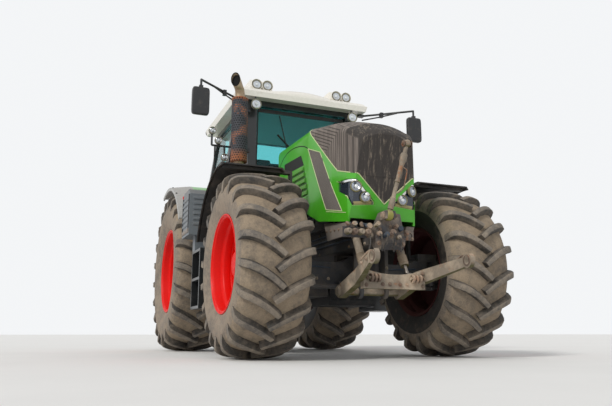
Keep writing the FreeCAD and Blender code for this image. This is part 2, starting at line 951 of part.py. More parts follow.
def steering():
    """A double-rod cylinder ahead of the axle and the rod that slides through it."""
    line = (front_y - d.arm_reach, d.steer_rod_rise)
    tube = rod("steer_tube", "x", d.steer_tube_radius, -d.steer_tube_half, d.steer_tube_half, line)
    foot_back = front_y - d.beam_deep
    foot_low = d.beam_low
    feet = both_sides("steer_feet", box(
        "steer_foot", (d.steer_tube_half - d.beam_tip_radius, d.steer_tube_half),
        (front_y - d.arm_reach, foot_back), (foot_low, foot_low + d.arm_thick)))
    bore = rod("steer_bore", "x", d.steer_rod_radius + d.fit_gap, -d.kingpin, d.kingpin, line)
    node("steering_cylinder", cut("steering_cylinder", fuse("steer_body", tube, feet), bore))
    slim = rod("steer_bar", "x", d.steer_rod_radius, -d.kingpin, d.kingpin, line)
    eyes = both_sides("steer_eyes", rod(
        "steer_eye", "z", d.arm_half, d.steer_rod_rise - d.steer_eye_half,
        d.steer_rod_rise + d.steer_eye_half, (d.kingpin, front_y - d.arm_reach)))
    node("steering_rod", fuse("steering_rod", slim, eyes))


def front_frame():
    """The half-frame that carries the engine, with two hangers for the axle's trunnion."""
    body = box("frame_body", (-d.frame_half, d.frame_half), (front_y + d.frame_step, frame_end),
               (d.frame_low, d.frame_high))
    nose = box("frame_nose", (-d.frame_nose_half, d.frame_nose_half),
               (front_y + d.frame_nose, front_y + d.frame_step), (d.frame_low, d.frame_nose_high))
    middle = (d.beam_low + d.beam_high) / 2
    hangers = [
        box("hanger_%s" % word, (-d.hanger_half, d.hanger_half),
            (front_y + run, front_y + run + d.hanger_thick), (middle - d.hanger_half, d.frame_low))
        for word, run in (("front", d.hanger_front), ("back", d.hanger_back))
    ]
    bore = rod("hanger_bore", "y", d.trunnion_radius + d.fit_gap, front_y + d.hanger_front,
               front_y + d.hanger_back + d.hanger_thick, (0, middle))
    cheeks = both_sides("cheeks", prism("cheek", "side", d.cheek_in, d.cheek_out, [
        (front_y + d.lift_pivot_run - d.cheek_half, d.frame_low),
        (front_y + d.lift_pivot_run - d.lift_boss, d.lift_pivot_rise),
        (front_y + d.lift_pivot_run, d.lift_pivot_rise - d.lift_boss, d.lift_boss, 1),
        (front_y + d.lift_pivot_run + d.lift_boss, d.lift_pivot_rise, d.lift_boss, 1),
        (front_y + d.lift_pivot_run + d.cheek_half, d.frame_low),
    ]))
    eye = rod("cheek_bore", "x", d.lift_shaft + d.fit_gap, -d.cheek_out, d.cheek_out,
              (front_y + d.lift_pivot_run, d.lift_pivot_rise))
    ram_pins = rod("ram_pins", "x", d.ram_pin, -d.ram_side - d.ram_eye_half - d.ram_pin,
                   d.ram_side + d.ram_eye_half + d.ram_pin,
                   (front_y + d.ram_foot_run, d.ram_foot_rise))
    whole = fuse("frame_whole", body, nose, *hangers, cheeks, ram_pins)
    node("front_frame", cut("front_frame", whole, bore, eye))


def engine():
    along = (front_y + d.engine_front, cab_y - d.engine_short)
    node("engine", box("engine", (-d.engine_half, d.engine_half), along, (d.frame_high, d.engine_high)))
    along = (front_y + d.cooler_front, front_y + d.cooler_back)
    node("cooler", box("cooler", (-d.cooler_half, d.cooler_half), along, (d.frame_high, d.cooler_high)))


def rear_axle():
    """Gearbox, rear case, trumpets, planetary housings and wheel shafts, cast as one."""
    gearbox = box("gearbox", (-d.gearbox_half, d.gearbox_half), (frame_end, rear_y),
                  (d.gearbox_low, d.frame_high))
    case = box("rear_case", (-d.rear_case_half, d.rear_case_half),
               (rear_y - d.rear_case_deep, rear_y + d.rear_case_deep), (d.rear_case_low, d.rear_case_high))
    line = (rear_y, d.rear_radius)
    arms = both_sides("trumpets", rod("trumpet", "x", d.trumpet_radius, 0, d.trumpet_end, line))
    planets = both_sides("planets", rod("planet", "x", d.planet_radius, d.trumpet_end, d.planet_end, line))
    shafts = both_sides("shafts", rod("shaft", "x", d.shaft_radius, d.planet_end,
                                      rear_wheel_x + d.shaft_reach, line))
    pto = rod("pto_shaft", "y", d.pto_radius, rear_y + d.rear_case_deep,
              rear_y + d.rear_case_deep + d.pto_long, (0, d.pto_rise))
    hanger = box("drawbar_hanger", (-d.drawbar_half * 2, d.drawbar_half * 2),
                 (rear_y, rear_y + d.link_pivot_run), (d.drawbar_rise + d.drawbar_thick, d.rear_case_low))
    line = (rear_y + d.link_pivot_run, d.lift_arm_rise)
    shaft_bore = rod("lift_bore", "x", d.lift_cross_shaft + d.fit_gap, -d.rear_case_half,
                     d.rear_case_half, line)
    pins = rod("link_pins", "x", d.link_pin, -d.link_out - d.link_pin, d.link_out + d.link_pin,
               (rear_y + d.link_pivot_run, d.link_pivot_rise))
    lugs = both_sides("link_lugs", box(
        "link_lug", (d.link_in - d.swing_gap - d.link_thick, d.link_in - d.swing_gap),
        (rear_y + d.rear_case_deep - d.link_lug, rear_y + d.link_pivot_run + d.link_eye),
        (d.link_pivot_rise - d.link_eye, d.rear_case_low + d.link_eye)))
    whole = fuse("axle_whole", gearbox, case, arms, planets, shafts, pto, hanger, lugs, pins)
    node("rear_axle", cut("rear_axle", whole, shaft_bore))
    bar_y = (rear_y, rear_y + d.drawbar_reach)
    tongue = box("tongue", (-d.drawbar_half, d.drawbar_half), bar_y,
                 (d.drawbar_rise, d.drawbar_rise + d.drawbar_thick))
    hole = rod("tongue_hole", "z", d.drawbar_bore, d.drawbar_rise, d.drawbar_rise + d.drawbar_thick,
               (0, rear_y + d.drawbar_reach - d.drawbar_half))
    node("drawbar", cut("drawbar", tongue, hole))


def hood_body(name, inset):
    """The hood as a solid: six cross-sections joined, then trimmed to its nose and lower edge."""
    sections = []
    for word in HOOD_STATIONS:
        run, half, shoulder, crown, curve = (
            getattr(d, "hood_%s_%s" % (word, column)) for column in HOOD_COLUMNS)
        flat = half - curve
        rise = crown - shoulder - curve
        roof_arc = (flat * flat + rise * rise) / (rise * 2)
        origin = cab_y if word == "rear" else front_y
        sections.append(outline("%s_%s" % (name, word), "front", origin + run, [
            (-(half - d.hood_tuck - inset), d.frame_low),
            (half - d.hood_tuck - inset, d.frame_low),
            (half - inset, d.hood_skirt),
            (half - inset, shoulder),
            (flat, shoulder + curve - inset, curve - inset, 1),
            (-flat, shoulder + curve - inset, roof_arc, 1),
            (-(half - inset), shoulder, curve - inset, 1),
            (-(half - inset), d.hood_skirt),
        ]))
    loft = doc.addObject("Part::Loft", name + "_loft")
    loft.Sections = sections
    loft.Ruled = True
    loft.Solid = True
    return common(name, loft, hood_trim(name + "_trim", inset))


def hood_trim(name, inset):
    """The hood's side view: raked nose, chin, skirt line and rear edge."""
    y = lambda run: front_y + run
    if inset == 0:
        lower = [
            (y(d.hood_chin_run), d.hood_chin),
            (y(d.hood_chin_back_run), d.hood_chin_back),
            (y(d.hood_skirt_run), d.hood_skirt),
            (hood_rear_y, d.hood_skirt),
            (hood_rear_y, d.hood_ceiling),
        ]
    else:
        lower = [
            (y(d.hood_chin_run) + inset, d.frame_low),
            (hood_rear_y, d.frame_low),
            (hood_rear_y, d.hood_ceiling),
        ]
    nose = [
        (y(d.hood_brow_back), d.hood_ceiling),
        (y(d.hood_nose_run) + inset, d.hood_brow),
        (y(d.hood_lip_run) + inset, d.hood_lip),
    ]
    return prism(name, "side", -d.hood_trim_half, d.hood_trim_half, lower + nose)


def hood():
    """A tilting shell whose grille, side vents and lamps are set flush in its openings."""
    y = lambda run: front_y + run
    wide = d.hood_trim_half
    shell = cut("hood_skin", hood_body("hood_outer", 0), hood_body("hood_inner", d.hood_wall))
    wrap = prism("mesh_wrap", "side", -wide, wide, [
        (y(d.mesh_back), d.hood_ceiling),
        (y(d.hood_ahead), d.hood_ceiling),
        (y(d.hood_ahead), d.mesh_front_rise),
        (y(d.mesh_corner_run), d.mesh_front_rise),
        (y(d.mesh_mid_run), d.mesh_mid_rise),
        (y(d.mesh_back), d.mesh_back_rise),
    ])
    vee = prism("mesh_vee", "front", y(d.hood_ahead), y(d.hood_corner_run), [
        (-d.vee_half, d.mesh_front_rise),
        (0, d.vee_low),
        (d.vee_half, d.mesh_front_rise),
    ])
    vent = prism("vent_shape", "side", -wide, wide, [
        (y(d.vent_top_run), d.vent_top),
        (y(d.vent_mid_run), d.vent_mid),
        (y(d.vent_tip_run), d.vent_tip),
        (y(d.vent_foot_run), d.vent_foot),
    ])
    lamp = both_sides("lamp_shapes", prism(
        "lamp_shape", "front", y(d.hood_ahead), y(d.lamp_back_run), [
            (d.lamp_out, d.lamp_out_rise),
            (d.lamp_top, d.lamp_top_rise),
            (d.lamp_in, d.lamp_in_rise),
            (d.lamp_in, d.lamp_in_low),
            (d.lamp_foot, d.lamp_foot_rise),
        ]))
    hinge = (hood_hinge_y, d.hood_hinge_rise)
    ears = both_sides("hood_ears", cut(
        "hood_ear",
        box("hood_ear_plate", (d.hinge_side, d.hinge_side + d.hinge_thick),
            (hood_hinge_y - d.hinge_eye, hood_hinge_y + d.hinge_eye),
            (d.hood_hinge_rise - d.hinge_eye, d.hinge_top)),
        rod("hood_ear_bore", "x", d.hinge_pin + d.fit_gap, 0, d.hood_trim_half, hinge)))
    openings = fuse("hood_openings", wrap, vee, vent, lamp)
    node("hood_shell", fuse("hood_shell", cut("hood_panels", shell, openings), ears))
    node("hood_mesh", common("hood_mesh", shell, fuse("mesh_shape", wrap, vee)))
    node("side_grilles", common("side_grilles", shell, vent))
    lens = cut("lens_block", hood_body("lens_outer", d.lens_recess),
               box("lens_back", (-wide, wide), (y(d.lamp_back_run), hood_rear_y),
                   (d.frame_low, d.hood_ceiling)))
    beams = [
        rod("beam_%s" % word, "y", d.beam_radius, y(d.beam_run), y(d.hood_corner_run), (side, rise))
        for word, side, rise in (("inner", d.beam_inner, d.beam_inner_rise),
                                 ("outer", d.beam_outer, d.beam_outer_rise))
    ]
    beams = common("beam_drums", both_sides("beams", group("beam_pair", *beams)),
                   hood_body("beam_limit", d.fit_gap))
    node("headlamps", fuse("headlamps", common("lens_skin", lens, lamp), beams))


def cowl():
    """The bulkhead between hood and windscreen; it carries the hood's hinge pin."""
    front = cab_y - d.cowl_deep
    wall = box("cowl_wall", (-d.cowl_half, d.cowl_half), (front, cab_y - d.fit_gap),
               (d.frame_high, d.cowl_top))
    lug_in = d.hinge_side + d.hinge_thick + d.swing_gap
    lugs = both_sides("cowl_lugs", box(
        "cowl_lug", (lug_in, lug_in + d.hinge_thick),
        (hood_hinge_y - d.hinge_eye, front + d.hinge_thick),
        (d.cowl_top - d.hinge_eye, d.hood_hinge_rise + d.hinge_pin)))
    pin = rod("hinge_pin", "x", d.hinge_pin, -lug_in - d.hinge_thick, lug_in + d.hinge_thick,
              (hood_hinge_y, d.hood_hinge_rise))
    node("cowl", fuse("cowl", wall, lugs, pin))


def nose_skirt():
    y = lambda run: front_y + run
    whole = prism("skirt_shape", "side", -d.skirt_half, d.skirt_half, [
        (y(d.hood_chin_run) + d.swing_gap, d.hood_chin - d.swing_gap),
        (y(d.hood_chin_run) + d.skirt_rake, d.skirt_low),
        (y(d.skirt_back), d.skirt_low),
        (y(d.hood_chin_back_run), d.hood_chin_back - d.swing_gap * 2),
    ])
    inside = box("skirt_inside", (-d.skirt_half + d.skirt_wall, d.skirt_half - d.skirt_wall),
                 (y(d.hood_chin_run) + d.skirt_rake + d.skirt_wall, y(0)), (d.frame_low, d.hood_skirt))
    slot = box("skirt_notch", (-d.skirt_slot, d.skirt_slot),
               (y(d.frame_nose), y(0)), (d.frame_low, d.frame_high))
    stay = box("skirt_stay", (-d.skirt_half + d.skirt_wall, d.skirt_half - d.skirt_wall),
               (y(d.frame_step), y(d.frame_step) + d.skirt_wall),
               (d.skirt_low + d.skirt_wall, d.frame_high - d.skirt_wall))
    core = box("skirt_core", (-d.frame_half, d.frame_half), (y(d.frame_nose), y(0)),
               (d.frame_low, d.frame_high))
    shell = cut("skirt_shell", whole, inside, slot)
    node("nose_skirt", fuse("nose_skirt", shell, cut("skirt_stays", stay, core)))


def front_fenders():
    """An arched guard over each front wheel, on a post from the knuckle, so it steers too."""
    rise = d.front_guard_radius
    edge = d.front_guard_edge
    left, right = d.front_guard_in, d.front_guard_out
    wall = d.front_guard_wall
    bevel = d.front_guard_radius - d.front_guard_edge
    guard = lathe("front_guard", [
        (left, edge), (left + wall, edge), (left + bevel, rise - wall), (right - bevel, rise - wall),
        (right - wall, edge), (right, edge), (right - bevel + wall, rise), (left + bevel - wall, rise),
    ], d.front_guard_start, d.front_guard_turn)
    seat_at(guard, 0, front_y, d.front_radius)
    deck = d.front_radius + rise - wall
    half = d.guard_post_half
    foot = d.beam_tip_high + d.guard_foot_gap
    across = (front_y - half, front_y + half)
    post = box("guard_post", (d.guard_post_in, d.guard_post_out), across, (foot, deck))
    toe = box("guard_toe", (d.guard_post_in, d.kingpin - d.ear_half), across, (foot, foot + half))
    top = box("guard_bar", (d.guard_post_in, right - bevel), across, (deck - half, deck + wall / 4))
    piece = node("front_fender_left", fuse("front_fender_left", guard, post, toe, top))
    node("front_fender_right", other_side("front_fender_right", piece))


def rear_fenders():
    """An arch with an inner wall over each rear wheel, and a lighter wing outside it."""
    wall = d.rear_guard_wall
    arch = lathe("rear_arch", [
        (d.rear_guard_in, d.rear_guard_apron),
        (d.rear_guard_in + wall, d.rear_guard_apron),
        (d.rear_guard_in + wall, d.rear_guard_radius),
        (d.rear_guard_mid, d.rear_guard_radius),
        (d.rear_guard_mid, d.rear_guard_radius + wall),
        (d.rear_guard_in, d.rear_guard_radius + wall),
    ], d.rear_guard_start, d.rear_guard_turn)
    seat_at(arch, 0, rear_y, d.rear_radius)
    node("rear_fenders", both_sides("rear_fenders", arch))
    wing = lathe("rear_wing", [
        (d.rear_guard_mid, d.rear_guard_radius),
        (d.rear_guard_out - wall, d.rear_guard_radius - wall * 2),
        (d.rear_guard_out - wall, d.rear_guard_radius - wall * 3),
        (d.rear_guard_out, d.rear_guard_radius - wall * 3),
        (d.rear_guard_out, d.rear_guard_radius - wall),
        (d.rear_guard_mid, d.rear_guard_radius + wall),
    ], d.wing_start, d.wing_turn)
    seat_at(wing, 0, rear_y, d.rear_radius)
    node("fender_wings", both_sides("fender_wings", wing))


def cab_hull(name, inset):
    """The cab as a solid: its side, front and plan outlines pushed through one another."""
    back = cab_y + d.cab_long
    base = d.cab_floor if inset == 0 else d.cab_floor + d.cab_floor_thick
    side = prism(name + "_side", "side", -d.cab_bound, d.cab_bound, [
        (cab_y + inset, base),
        (back - inset, base),
        (back - inset, d.cab_waist),
        (back - d.cab_tail - inset, d.cab_head - inset),
        (cab_y + d.cab_rake + inset, d.cab_head - inset),
        (cab_y + inset, d.cab_waist),
    ])
    face = prism(name + "_face", "front", cab_y - d.cab_wall, back + d.cab_wall, mirrored([
        (d.cab_half_low - inset, d.cab_floor - d.cab_wall),
        (d.cab_half_waist - inset, d.cab_waist),
        (d.cab_half_high - inset, d.cab_head),
    ]))
    plan = prism(name + "_plan", "plan", d.cab_floor - d.cab_wall, d.cab_head + d.cab_wall, [
        (d.cab_half_front - inset, cab_y + inset),
        (d.cab_half_waist - inset, cab_y + d.cab_widest),
        (d.cab_half_back - inset, back - inset),
        (-(d.cab_half_back - inset), back - inset),
        (-(d.cab_half_waist - inset), cab_y + d.cab_widest),
        (-(d.cab_half_front - inset), cab_y + inset),
    ])
    return common(name, side, face, plan)


def window(front, back, low, high):
    """A side opening between two posts, with its front edge raked with the windscreen."""
    return [
        (cab_y + front, low),
        (cab_y + back, low),
        (cab_y + back, high),
        (cab_y + front + d.window_rake, high),
        (cab_y + front, d.cab_waist),
    ]


def cab():
    """Posts, sills and floor as one frame, with glazing and a door set in its openings."""
    wide = d.cab_bound
    wall = d.cab_wall
    shell = cut("cab_skin", cab_hull("cab_outer", 0), cab_hull("cab_inner", wall))
    arch_radius = d.rear_guard_radius + d.rear_guard_wall + d.fit_gap
    line = (rear_y, d.rear_radius)
    arches = both_sides("cab_arches", rod("cab_arch", "x", arch_radius, d.rear_guard_in - d.swing_gap,
                                          wide, line))
    gap = d.door_gap
    door_hole = prism("door_hole", "side", d.belly_half, wide,
                      window(d.door_front, d.door_back, d.door_low, door_high))
    door_panel = prism("door_panel", "side", d.belly_half, wide, window(
        d.door_front + gap, d.door_back - gap, d.door_low + gap, door_high - gap))
    border = d.door_frame
    glass_hole = prism("glass_hole", "side", d.belly_half, wide, window(
        d.door_front + border, d.door_back - border, d.door_low + border, door_high - border))
    right_window = other_side("right_window", glass_hole)
    quarter = prism("quarter", "side", -wide, wide, [
        (cab_y + d.door_back + d.pillar, d.quarter_low),
        (cab_y + d.cab_long - d.quarter_back, d.quarter_low),
        (cab_y + d.cab_long - d.quarter_back, door_high),
        (cab_y + d.door_back + d.pillar, door_high),
    ])
    screen = prism("screen", "front", cab_y - wall, cab_y + d.cab_rake + wall, mirrored([
        (d.screen_half_low, d.screen_low),
        (d.screen_half_high, door_high),
    ]))
    rear_screen = prism("rear_screen", "front", cab_y + d.cab_long - d.cab_tail - wall * 2,
                        cab_y + d.cab_long + wall, mirrored([
                            (d.screen_half_low, d.rear_screen_low),
                            (d.screen_half_high, door_high),
                        ]))
    panes = fuse("pane_shapes", right_window, quarter, screen, rear_screen)
    frame = cut("cab_posts", shell, fuse("cab_holes", door_hole, panes, arches))
    hinge_x = d.door_hinge_side
    hinge_y = cab_y + d.door_back + d.door_hinge_back
    knuckles_low = [
        rod("hinge_post_%d" % index, "z", d.hinge_pin, rise, rise + d.door_hinge_tall, (hinge_x, hinge_y))
        for index, rise in enumerate((d.door_hinge_low, d.door_hinge_high))
    ]
    leaves = [
        box("hinge_leaf_%d" % index, (hinge_x - d.door_hinge_leaf, hinge_x),
            (hinge_y, hinge_y + d.hinge_pin / 2), (rise, rise + d.door_hinge_tall))
        for index, rise in enumerate((d.door_hinge_low, d.door_hinge_high))
    ]
    node("cab_frame", fuse("cab_frame", frame, *knuckles_low, *leaves))
    sheet_of_glass = cut("glass_skin", cab_hull("glass_outer", d.glass_in),
                         cab_hull("glass_inner", d.glass_in + d.pane))
    trim = cut("glass_trim", panes, arches)
    node("cab_glass", common("cab_glass", sheet_of_glass, trim))
    door = cut("door_leaf", common("door_skin", shell, door_panel), glass_hole)
    straps = []
    for index, rise in enumerate((d.door_hinge_low, d.door_hinge_high)):
        low = rise + d.door_hinge_tall + d.fit_gap
        span = (low, low + d.door_hinge_tall / 2)
        outer_x = hinge_x + d.hinge_pin
        straps += [
            rod("hinge_eye_%d" % index, "z", d.hinge_pin, *span, (hinge_x, hinge_y)),
            box("hinge_strap_%d" % index, (hinge_x, outer_x), (hinge_y - d.door_frame, hinge_y), span),
            box("hinge_block_%d" % index, (hinge_x - d.door_hinge_leaf, outer_x),
                (hinge_y - d.door_frame, hinge_y - d.door_hinge_back - d.door_gap * 3), span),
        ]
    node("door_frame", fuse("door_frame", door, *straps))
    node("door_glass", common("door_glass", sheet_of_glass, glass_hole))


def roof():
    """A cap with a visor edge and two lamp pods."""
    front, back = cab_y + d.roof_front, cab_y + d.roof_front + d.roof_long
    low, top = d.cab_head, roof_top
    lip = d.roof_lip
    side = prism("roof_side", "side", -d.roof_half, d.roof_half, [
        (front, low), (back, low), (back, roof_edge), (back - lip * 2, top), (front + d.roof_brow, top),
        (front + d.roof_visor, roof_edge + lip / 4), (front + lip, roof_edge), (front, roof_edge - lip),
    ])
    face = prism("roof_face", "front", front, back, mirrored([
        (d.roof_half - lip / 2, low), (d.roof_half, roof_edge - lip), (d.roof_half - lip, roof_edge),
        (d.roof_half - lip * 4, top),
    ]))
    pods = both_sides("pods", prism("pod", "side", d.pod_inner, d.pod_outer, [
        (cab_y + d.pod_front, roof_edge - lip), (cab_y + d.pod_back, roof_edge),
        (cab_y + d.pod_back, top), (cab_y + d.pod_back - lip * 2, pod_top),
        (cab_y + d.pod_front + lip / 2, pod_top), (cab_y + d.pod_front, pod_top - lip / 2),
    ]))
    node("cab_roof", fuse("cab_roof", common("roof_cap", side, face), pods))


def interior():
    """Seat, and steering column with its wheel, as seen through the glass."""
    y = lambda run: cab_y + run
    floor = d.cab_floor + d.cab_floor_thick
    half = d.seat_half
    node("seat_base", box("seat_base", (-d.seat_base_half, d.seat_base_half),
                          (y(d.seat_front) + d.seat_thick, y(d.seat_back)), (floor, d.seat_low)))
    cushion = box("cushion", (-half, half), (y(d.seat_front), y(d.seat_back)),
                  (d.seat_low, d.seat_low + d.seat_thick))
    back = box("backrest", (-half, half), (y(d.seat_back), y(d.seat_back) + d.seat_thick),
               (d.seat_low, d.cab_head - d.backrest_drop))
    node("seat", fuse("seat", cushion, back))
    head = (0, y(d.column_run), d.column_rise)
    column = bar("column", d.column_radius, (0, y(d.column_foot), floor + d.column_radius), head)
    console = box("console", (-d.console_half, d.console_half),
                  (y(d.cab_wall), y(d.column_foot) + d.column_radius), (floor, d.cab_waist))
    hoop = doc.addObject("Part::Torus", "hoop")
    bind(hoop, Radius1=d.wheel_ring, Radius2=d.wheel_tube)
    place(hoop, *head, turn=Rotation(Vector(1, 0, 0), -WHEEL_LEAN))
    hub = ball("wheel_hub", d.wheel_hub, *head)
    spoke = rod("spoke", "x", d.wheel_spoke, -d.wheel_ring, d.wheel_ring, (y(d.column_run), d.column_rise))
    node("steering_column", fuse("steering_column", column, console, hoop, hub, spoke))


def sides():
    """Tanks, boarding steps and the battery box between the axles."""
    y = lambda run: cab_y + run
    bevel = d.tank_bevel
    low, high = d.tank_low, d.tank_high
    tank = prism("tank", "side", d.tank_in, d.tank_out, [
        (y(d.tank_front), low + bevel), (y(d.tank_front) + bevel, low), (y(d.tank_back) - bevel, low),
        (y(d.tank_back), low + bevel), (y(d.tank_back), high - bevel), (y(d.tank_back) - bevel, high),
        (y(d.tank_front) + bevel, high), (y(d.tank_front), high - bevel),
    ])
    node("tanks", both_sides("tanks", tank))
    bracket = box("tank_rail", (-d.tank_in, d.tank_in),
                  (y(d.tank_back) - bevel * 2, y(d.tank_back) - bevel),
                  (d.gearbox_low + bevel, d.frame_high - bevel))
    core = box("tank_rail_core", (-d.gearbox_half, d.gearbox_half), (y(d.tank_front), y(d.tank_back)),
               (low, high))
    deck = box("deck", (d.belly_half, d.tank_out), (y(d.tank_front) + bevel, y(d.tank_back) - bevel),
               (high, d.cab_floor))
    node("platform", fuse("platform", both_sides("decks", deck), cut("tank_rails", bracket, core)))
    across = (d.tank_out, d.step_out)
    treads = [
        box("tread_%d" % index, across, (y(d.step_front), y(d.step_back)),
            (d.step_first + d.step_rise * index, d.step_first + d.step_rise * index + d.step_thick))
        for index in range(TREADS)
    ]
    top = d.step_first + d.step_rise * (TREADS - 1) + d.step_thick
    plates = [
        box("step_side_%s" % word, across, (y(run), y(run) + d.step_plate),
            (d.step_first, top))
        for word, run in (("front", d.step_front), ("back", d.step_back - d.step_plate))
    ]
    node("steps", both_sides("steps", fuse("step_stack", *treads, *plates)))
    battery = prism("battery_shape", "side", -d.battery_out, -d.battery_in, [
        (y(d.battery_front), d.battery_low), (y(d.battery_back), d.battery_low),
        (y(d.battery_back), d.battery_high - bevel), (y(d.battery_back) - bevel, d.battery_high),
        (y(d.battery_front) + bevel, d.battery_high), (y(d.battery_front), d.battery_high - bevel),
    ])
    legs = box("battery_leg", (-d.step_out, -d.battery_in), (y(d.battery_front) + bevel, y(d.step_back)),
               (top, d.battery_low))
    node("battery_box", fuse("battery_box", battery, legs))


def exhaust():
    """A stack from the cowl, up the right front post, in a round heat shield with a bent tip."""
    x, y = -d.stack_side, cab_y - d.stack_ahead
    bend_rise = d.cab_head + d.stack_bend_up
    shield_high = d.cab_head - d.shield_drop
    feed = rod("stack_feed", "x", d.stack_radius, x, -d.cowl_half, (y, d.stack_foot))
    corner = ball("stack_corner", d.stack_radius, x, y, d.stack_foot)
    riser = rod("stack_riser", "z", d.stack_radius, d.stack_foot, bend_rise, (x, y))
    bend = ball("stack_knee", d.stack_radius, x, y, bend_rise)
    tip = bar("stack_tip", d.stack_radius, (x, y, bend_rise),
              (x - d.stack_lean, y, d.cab_head + d.stack_top_up))
    mouth = bar("stack_mouth", d.stack_radius - d.stack_wall, (x, y, bend_rise),
                (x - d.stack_lean * 2, y, d.cab_head + d.stack_top_up * 2 - d.stack_bend_up))
    node("exhaust_pipe", cut("exhaust_pipe", fuse("exhaust_whole", feed, corner, riser, bend, tip), mouth))
    shield = rod("shield", "z", d.shield_radius, d.shield_low, shield_high, (x, y))
    core = rod("shield_core", "z", d.stack_radius + d.fit_gap, d.shield_low, shield_high, (x, y))
    node("heat_shield", cut("heat_shield", shield, core))


def mirrors():
    """A mirror head on a bent tube arm at each front corner of the roof."""
    side, rise = d.mirror_side, d.cab_head - d.mirror_drop
    run = cab_y + d.mirror_run
    foot_y = cab_y + d.mirror_foot_run
    deep = d.mirror_deep / 2
    foot = box("mirror_foot", (d.mirror_foot_side, d.roof_half), (foot_y - deep, foot_y + deep),
               (d.cab_head - deep, d.cab_head))
    start = (d.roof_half - deep, foot_y, d.cab_head - deep / 2)
    corner = (side, run, d.cab_head - deep / 2)
    tube = d.mirror_tube
    arm = fuse("mirror_arm", foot, bar("mirror_reach", tube, start, corner),
               ball("mirror_corner", tube, *corner),
               rod("mirror_drop", "z", tube, rise + d.mirror_tall / 2, corner[2], (side, run)))
    node("mirror_arms", both_sides("mirror_arms", arm))
    half = d.mirror_wide / 2
    head = prism("mirror_head", "plan", rise - d.mirror_tall / 2, rise + d.mirror_tall / 2, [
        (side - half, run + d.mirror_deep / 2), (side + half, run + d.mirror_deep / 2),
        (side + half - d.mirror_tube * 2, run - d.mirror_deep / 2),
        (side - half + d.mirror_tube * 2, run - d.mirror_deep / 2),
    ][::-1])
    node("mirror_heads", both_sides("mirror_heads", head))


def lamps():
    """Round work lamps on the roof pods, the front posts and the roof's rear corners."""
    face = cab_y + d.pod_front
    radius, depth = d.lamp_radius, d.lamp_deep
    spots = {
        "pod_in": (d.pod_inner + d.pod_lamp_in, face - depth, face, pod_top - d.pod_lamp_drop),
        "pod_out": (d.pod_outer - d.pod_lamp_in, face - depth, face, pod_top - d.pod_lamp_drop),
        "tail": (d.tail_lamp_side, cab_y + d.roof_front + d.roof_long,
                 cab_y + d.roof_front + d.roof_long + depth, d.cab_head + d.tail_lamp_up),
    }
    drums = [
        rod("work_lamp_%s" % word, "y", radius, low, high, (side, rise))
        for word, (side, low, high, rise) in spots.items()
    ]
    post_y = cab_y + d.post_lamp_run
    drums += [
        rod("post_lamp", "y", d.post_lamp_radius, post_y - depth, post_y,
            (d.post_lamp_side, d.cab_head - d.post_lamp_drop)),
        rod("post_lamp_stem", "z", d.post_lamp_stem, d.cab_head - d.post_lamp_drop, d.cab_head,
            (d.post_lamp_side, post_y - d.post_lamp_stem)),
    ]
    node("work_lamps", both_sides("work_lamps", group("work_lamp_side", *drums)))


def side_lamps():
    """Three small lamps on a rail that stands out from the right front post."""
    run = cab_y + d.rail_run
    tube = d.rail_tube
    rail = rod("lamp_rail", "x", tube, -d.rail_side, -d.rail_in, (run, d.rail_rise))
    pieces = [rail]
    for word, side, rise, stem in (
            ("high", d.rail_side, d.rail_high, (d.rail_rise, d.rail_high)),
            ("middle", d.rail_middle_side, d.rail_middle, (d.rail_rise, d.rail_middle)),
            ("low", d.rail_low_side, d.rail_low, (d.rail_low, d.rail_rise))):
        pieces += [
            rod("rail_stem_%s" % word, "z", tube, *stem, (-side, run)),
            rod("rail_lamp_%s" % word, "y", d.rail_lamp, run - d.lamp_deep, run, (-side, rise)),
        ]
    node("side_lamps", fuse("side_lamps", *pieces))


